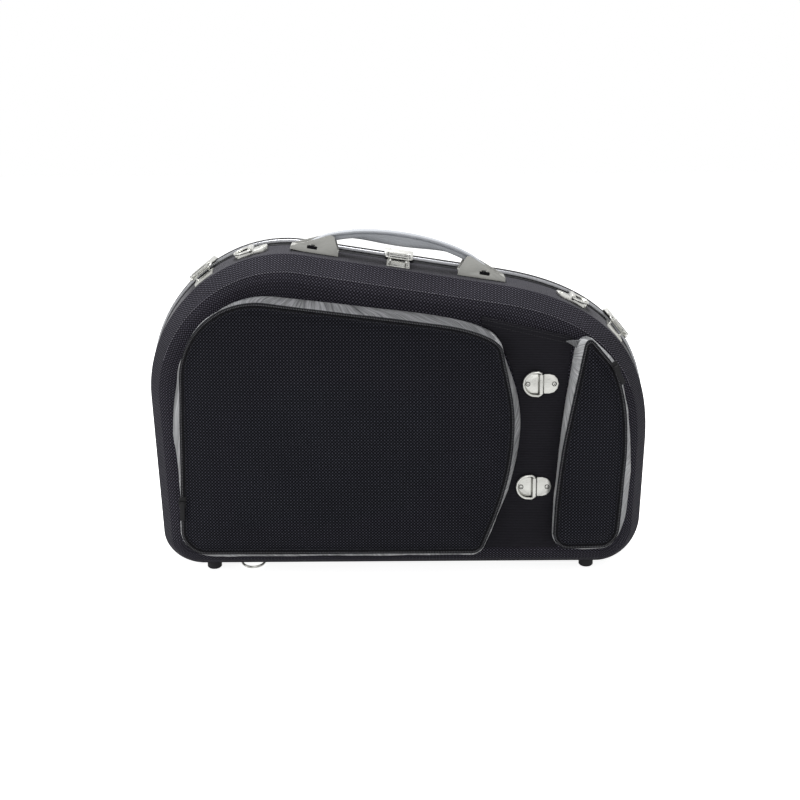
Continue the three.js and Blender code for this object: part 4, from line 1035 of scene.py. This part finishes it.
RIVET_SPREAD, RIVET_DOT_OUT = 15.5, 1.0
for place, x, z in (("upper", 166, 247), ("lower", 160, 121)):
    for end, shift in (("left", -RIVET_SPREAD), ("right", RIVET_SPREAD)):
        spot = front_of(plates[place], x + shift, z)
        name = f"rivet_{place}_{end}"
        small_round(f"{name}_ring", spot, 2.9, 0.5, seal_rubber)
        small_round(f"{name}_head", spot, 2.2, 1.1, nickel)
        small_round(f"{name}_dot", spot - Vector((0, RIVET_DOT_OUT * MM, 0)), 0.7, 0.3, seal_rubber)

# Handle: one moulded piece between two sloping brackets

HANDLE_MIDDLE = Vector((-0.26, -9, 381.75))
ALONG, RAISED = Vector((0.98774, 0, -0.15614)), Vector((0.15614, 0, 0.98774))
HANDLE_STEPS, NEAR = 48, 0.001
HALF_SPREAD, PIN_HEIGHT, RISE, GRIP_SHARE = 107, 5, 25, 32 / HANDLE_STEPS
HALF_WIDE, END_THICK, MORE_THICK, THICK_FROM = 9.4, 2.6, 1.9, 0.22
BELLY_MIDDLE, BELLY_HALF, BELLY_DEPTH, BELLY_SHARE, BELLY_STEPS = -2, 68, 8.5, 0.601, 12
# One side of the band as [inset, share of its half thickness], with the groove above its middle
HANDLE_SIDE = [
    (2.6, 1), (0.9, 0.86), (0.1, 0.6), (0.1, 0.42), (1.7, 0.3), (1.7, 0.16), (0.1, 0.02), (0.1, -0.5),
    (0.9, -0.82), (2.6, -1),
]
# A bracket's ends by their distance from the handle's middle, and how far each side leans out at the foot
BRACKET_OUTER, BRACKET_INNER = 116, 85
OUTER_LEAN, INNER_LEAN, FRONT_LEAN = 2.2, -3.3, 5.5
BRACKET_FRONT = -0.0149  # in metres
BRACKET_ROUNDING, STRIP_WIDTH = 1.3, 0.9
SLOT_OUT, SLOT_HEIGHT = 103.5, 3.0
SLOT_SIZE = (0.012, 0.0016, 0.0036)  # in metres


def in_handle(point):
    return (point / MM - HANDLE_MIDDLE).dot(ALONG), (point / MM - HANDLE_MIDDLE).dot(RAISED)


def bracket_shape(side):
    """A shape function: a bracket whose front slopes out to a longer foot."""
    def shape(obj):
        heights = [in_handle(v.co)[1] for v in obj.data.vertices]
        low, high = min(heights), max(heights)
        for vertex, height in zip(obj.data.vertices, heights):
            down = (high - height) / (high - low)
            x = in_handle(vertex.co)[0] * side
            lean = OUTER_LEAN if x > BRACKET_OUTER else INNER_LEAN if x < BRACKET_INNER else 0
            vertex.co += ALONG * (side * MM * down * lean)
            if vertex.co.y < BRACKET_FRONT:
                vertex.co.y -= FRONT_LEAN * MM * down
    return shape


def strip_width(face, mesh):
    corners = [mesh.vertices[i].co for i in face.vertices]
    longest = max((a - b).length for a, b in zip(corners, corners[1:] + corners[:1]))
    return face.area / longest / MM


# A thin black block on each bracket's front where its pin slot opens: painted shade of the slot
def add_slot_shade(name, obj, side):
    place = HANDLE_MIDDLE + ALONG * (side * SLOT_OUT) + RAISED * SLOT_HEIGHT
    spot = front_of(obj, place.x, place.z)
    mark = made(bpy.ops.mesh.primitive_cube_add, name, size=1)
    turn = Matrix((ALONG, (0, 1, 0), RAISED)).transposed().to_4x4()
    mark.data.transform(Matrix.Translation(spot) @ turn @ Matrix.Diagonal((*SLOT_SIZE, 1)))
    apply_modifier(mark, "BEVEL", width=0.4 * MM, segments=2)
    dressed(mark, "front_half", "nickel", binding)


for place, side in (("left", -1), ("right", 1)):
    bracket = softened(
        f"handle_bracket_{place}", "nickel", BRACKET_ROUNDING, material=bracket_metal, segments=3,
        seated=True, shape=bracket_shape(side),
    )
    # The narrow bevel strips get the brighter copy: a painted highlight along the broken edges
    repainted(bracket, edge_painted_highlight, lambda face, mesh=bracket.data: strip_width(face, mesh) < STRIP_WIDTH)
    add_slot_shade(f"handle_slot_shade_{place}", bracket, side)


def handle_place(share):
    """Middle, upright and half thickness at a share of the way from pin to pin, from -1 to 1."""
    t = 1 - abs(share)
    knots = [
        Vector((HALF_SPREAD, PIN_HEIGHT)), Vector((HALF_SPREAD * 0.73, PIN_HEIGHT + RISE * 0.72)),
        Vector((HALF_SPREAD * 0.37, PIN_HEIGHT + RISE)), Vector((0, PIN_HEIGHT + RISE)),
    ]
    here, near = bezier(knots, t), bezier(knots, t - NEAR)
    sign = -1 if share < 0 else 1
    slope = Vector((near.x - here.x, sign * (near.y - here.y))).normalized()
    upright = ALONG * -slope.y + RAISED * slope.x
    half_thick = END_THICK + MORE_THICK * min(1, t / THICK_FROM)
    return HANDLE_MIDDLE + ALONG * (sign * here.x) + RAISED * here.y, upright, half_thick, sign * here.x


def handle_ring(share):
    """A ring of the band: flat on top and below, with a groove along each side."""
    middle, upright, half_thick, _ = handle_place(share)
    near = [(inset - HALF_WIDE, part * half_thick) for inset, part in HANDLE_SIDE]
    far = [(-y, v) for y, v in reversed(near)]
    return [middle + upright * v + Vector((0, y, 0)) for y, v in near + far]


def belly_ring(share):
    """A ring of the swelling under the grip, which sinks into the band at its ends."""
    middle, upright, half_thick, x = handle_place(share)
    swell = max(0, 1 - ((x - BELLY_MIDDLE) / BELLY_HALF) ** 2) ** 1.6
    wide, deep = HALF_WIDE - 0.6 + 0.9 * swell, half_thick * 0.9 + BELLY_DEPTH * swell
    turns = [math.pi * k / BELLY_STEPS for k in range(1, BELLY_STEPS)]
    low = [(-wide * math.cos(turn), -deep * math.sin(turn) ** 0.8) for turn in turns]
    corners = [(-wide + 1.2, 0), *low, (wide - 1.2, 0)]
    return [middle + upright * v + Vector((0, y, 0)) for y, v in corners]


handle_shares = [k / HANDLE_STEPS for k in range(-HANDLE_STEPS, HANDLE_STEPS + 1)]
grip = loft("handle_grip_moulded", [handle_ring(k) for k in handle_shares if abs(k) < GRIP_SHARE + NEAR])
dressed(grip, "handle", "handle_rubber", replaces=["handle_grip", "handle_strap"], degrees=30)
belly = loft("handle_belly", [belly_ring(k) for k in handle_shares if abs(k) < BELLY_SHARE])
dressed(belly, "handle", "handle_rubber", degrees=50)
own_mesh(belly)
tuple(RAISED)
for place, side in (("left", -1), ("right", 1)):
    shares = [k for k in handle_shares if k * side > GRIP_SHARE - NEAR]
    strap = loft(f"handle_strap_{place}", [handle_ring(k) for k in shares])
    dressed(strap, None, "handle_rubber", degrees=30)
    outer = HANDLE_MIDDLE + ALONG * (side * HALF_SPREAD) + RAISED * PIN_HEIGHT
    inner = sum(handle_ring(side * GRIP_SHARE), Vector()) / len(handle_ring(0))
    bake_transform(strap, "front_half", "handle", start=outer * MM, end=inner * MM)

for place in ("left", "right"):
    softened(f"hinge_leaf_front_{place}", "nickel", 0.25)
    softened(f"hinge_leaf_back_{place}", "nickel", 0.25)
for size in ("large", "small"):
    softened(f"{size}_zip_slider", "zip_plastic", 0.25)
    softened(f"{size}_zip_pull", "zip_plastic", 0.3)
for side in ("front", "back"):
    for place in ("left", "right"):
        softened(f"foot_{side}_{place}", "foot_rubber", 0.5)

# CAD nodes that stay as they are get the nickel finish

for obj in frame["nodes"].values():
    if not obj.hide_render:
        for material_slot in obj.material_slots:
            material_slot.link = "OBJECT"
            material_slot.material = nickel

# Studio: a white floor that keeps the shadow, a plain sky and three soft lights

FLOOR_WHITE, SEEN_GLOW, HIDDEN_GLOW, SKY_LIGHT = 0.8, 0.6, 0.3, 0.32


def joined(links, pairs):
    """Links sockets of nodes, each pair from an output to an input."""
    for source, target in pairs:
        links.new(source, target)


floor = made(bpy.ops.mesh.primitive_plane_add, "studio_floor", size=12)
floor_paint = bpy.data.materials.new("studio_floor")
floor_paint.use_nodes = True
tree = floor_paint.node_tree
tree.nodes.clear()
output = tree.nodes.new("ShaderNodeOutputMaterial")
diffuse = tree.nodes.new("ShaderNodeBsdfDiffuse")
glow = tree.nodes.new("ShaderNodeEmission")
both = tree.nodes.new("ShaderNodeAddShader")
rays = tree.nodes.new("ShaderNodeLightPath")
diffuse.inputs["Color"].default_value = (FLOOR_WHITE, FLOOR_WHITE, FLOOR_WHITE, 1)
level = tree.nodes.new("ShaderNodeMath")
level.operation = "MULTIPLY_ADD"
level.inputs[1].default_value = SEEN_GLOW
level.inputs[2].default_value = HIDDEN_GLOW
joined(tree.links, [
    (rays.outputs["Is Camera Ray"], level.inputs[0]), (level.outputs[0], glow.inputs["Strength"]),
    (diffuse.outputs[0], both.inputs[0]), (glow.outputs[0], both.inputs[1]),
    (both.outputs[0], output.inputs["Surface"]),
])
floor.data.materials.append(floor_paint)

world = bpy.data.worlds.new("studio")
bpy.context.scene.world = world
world.use_nodes = True
sky = world.node_tree
sky.nodes.clear()
sky_out = sky.nodes.new("ShaderNodeOutputWorld")
seen, lit = sky.nodes.new("ShaderNodeBackground"), sky.nodes.new("ShaderNodeBackground")
choose = sky.nodes.new("ShaderNodeMixShader")
sky_rays = sky.nodes.new("ShaderNodeLightPath")
straight = sky.nodes.new("ShaderNodeMath")
straight.operation = "ADD"
straight.use_clamp = True
for background in (seen, lit):
    background.inputs["Color"].default_value = (1, 1, 1, 1)
lit.inputs["Strength"].default_value = SKY_LIGHT
joined(sky.links, [
    (sky_rays.outputs["Is Camera Ray"], straight.inputs[0]),
    (sky_rays.outputs["Is Glossy Ray"], straight.inputs[1]), (straight.outputs[0], choose.inputs["Fac"]),
    (lit.outputs[0], choose.inputs[1]), (seen.outputs[0], choose.inputs[2]),
    (choose.outputs[0], sky_out.inputs["Surface"]),
])


def add_light(name, place, aim, size, power):
    data = bpy.data.lights.new(name, "AREA")
    data.shape, data.size, data.energy = "DISK", size, power
    obj = bpy.data.objects.new(name, data)
    bpy.context.scene.collection.objects.link(obj)
    obj.location = place
    obj.rotation_euler = (Vector(aim) - Vector(place)).to_track_quat("-Z", "Y").to_euler()


add_light("top_light", (-0.2, 0.7, 2.1), (0, 0, 0.2), 1.4, 60)
add_light("left_light", (-2.6, -1.3, 0.9), (0, 0, 0.2), 1.2, 16)
add_light("front_light", (0.3, -2.6, 1.6), (0, 0, 0.2), 1.4, 7)
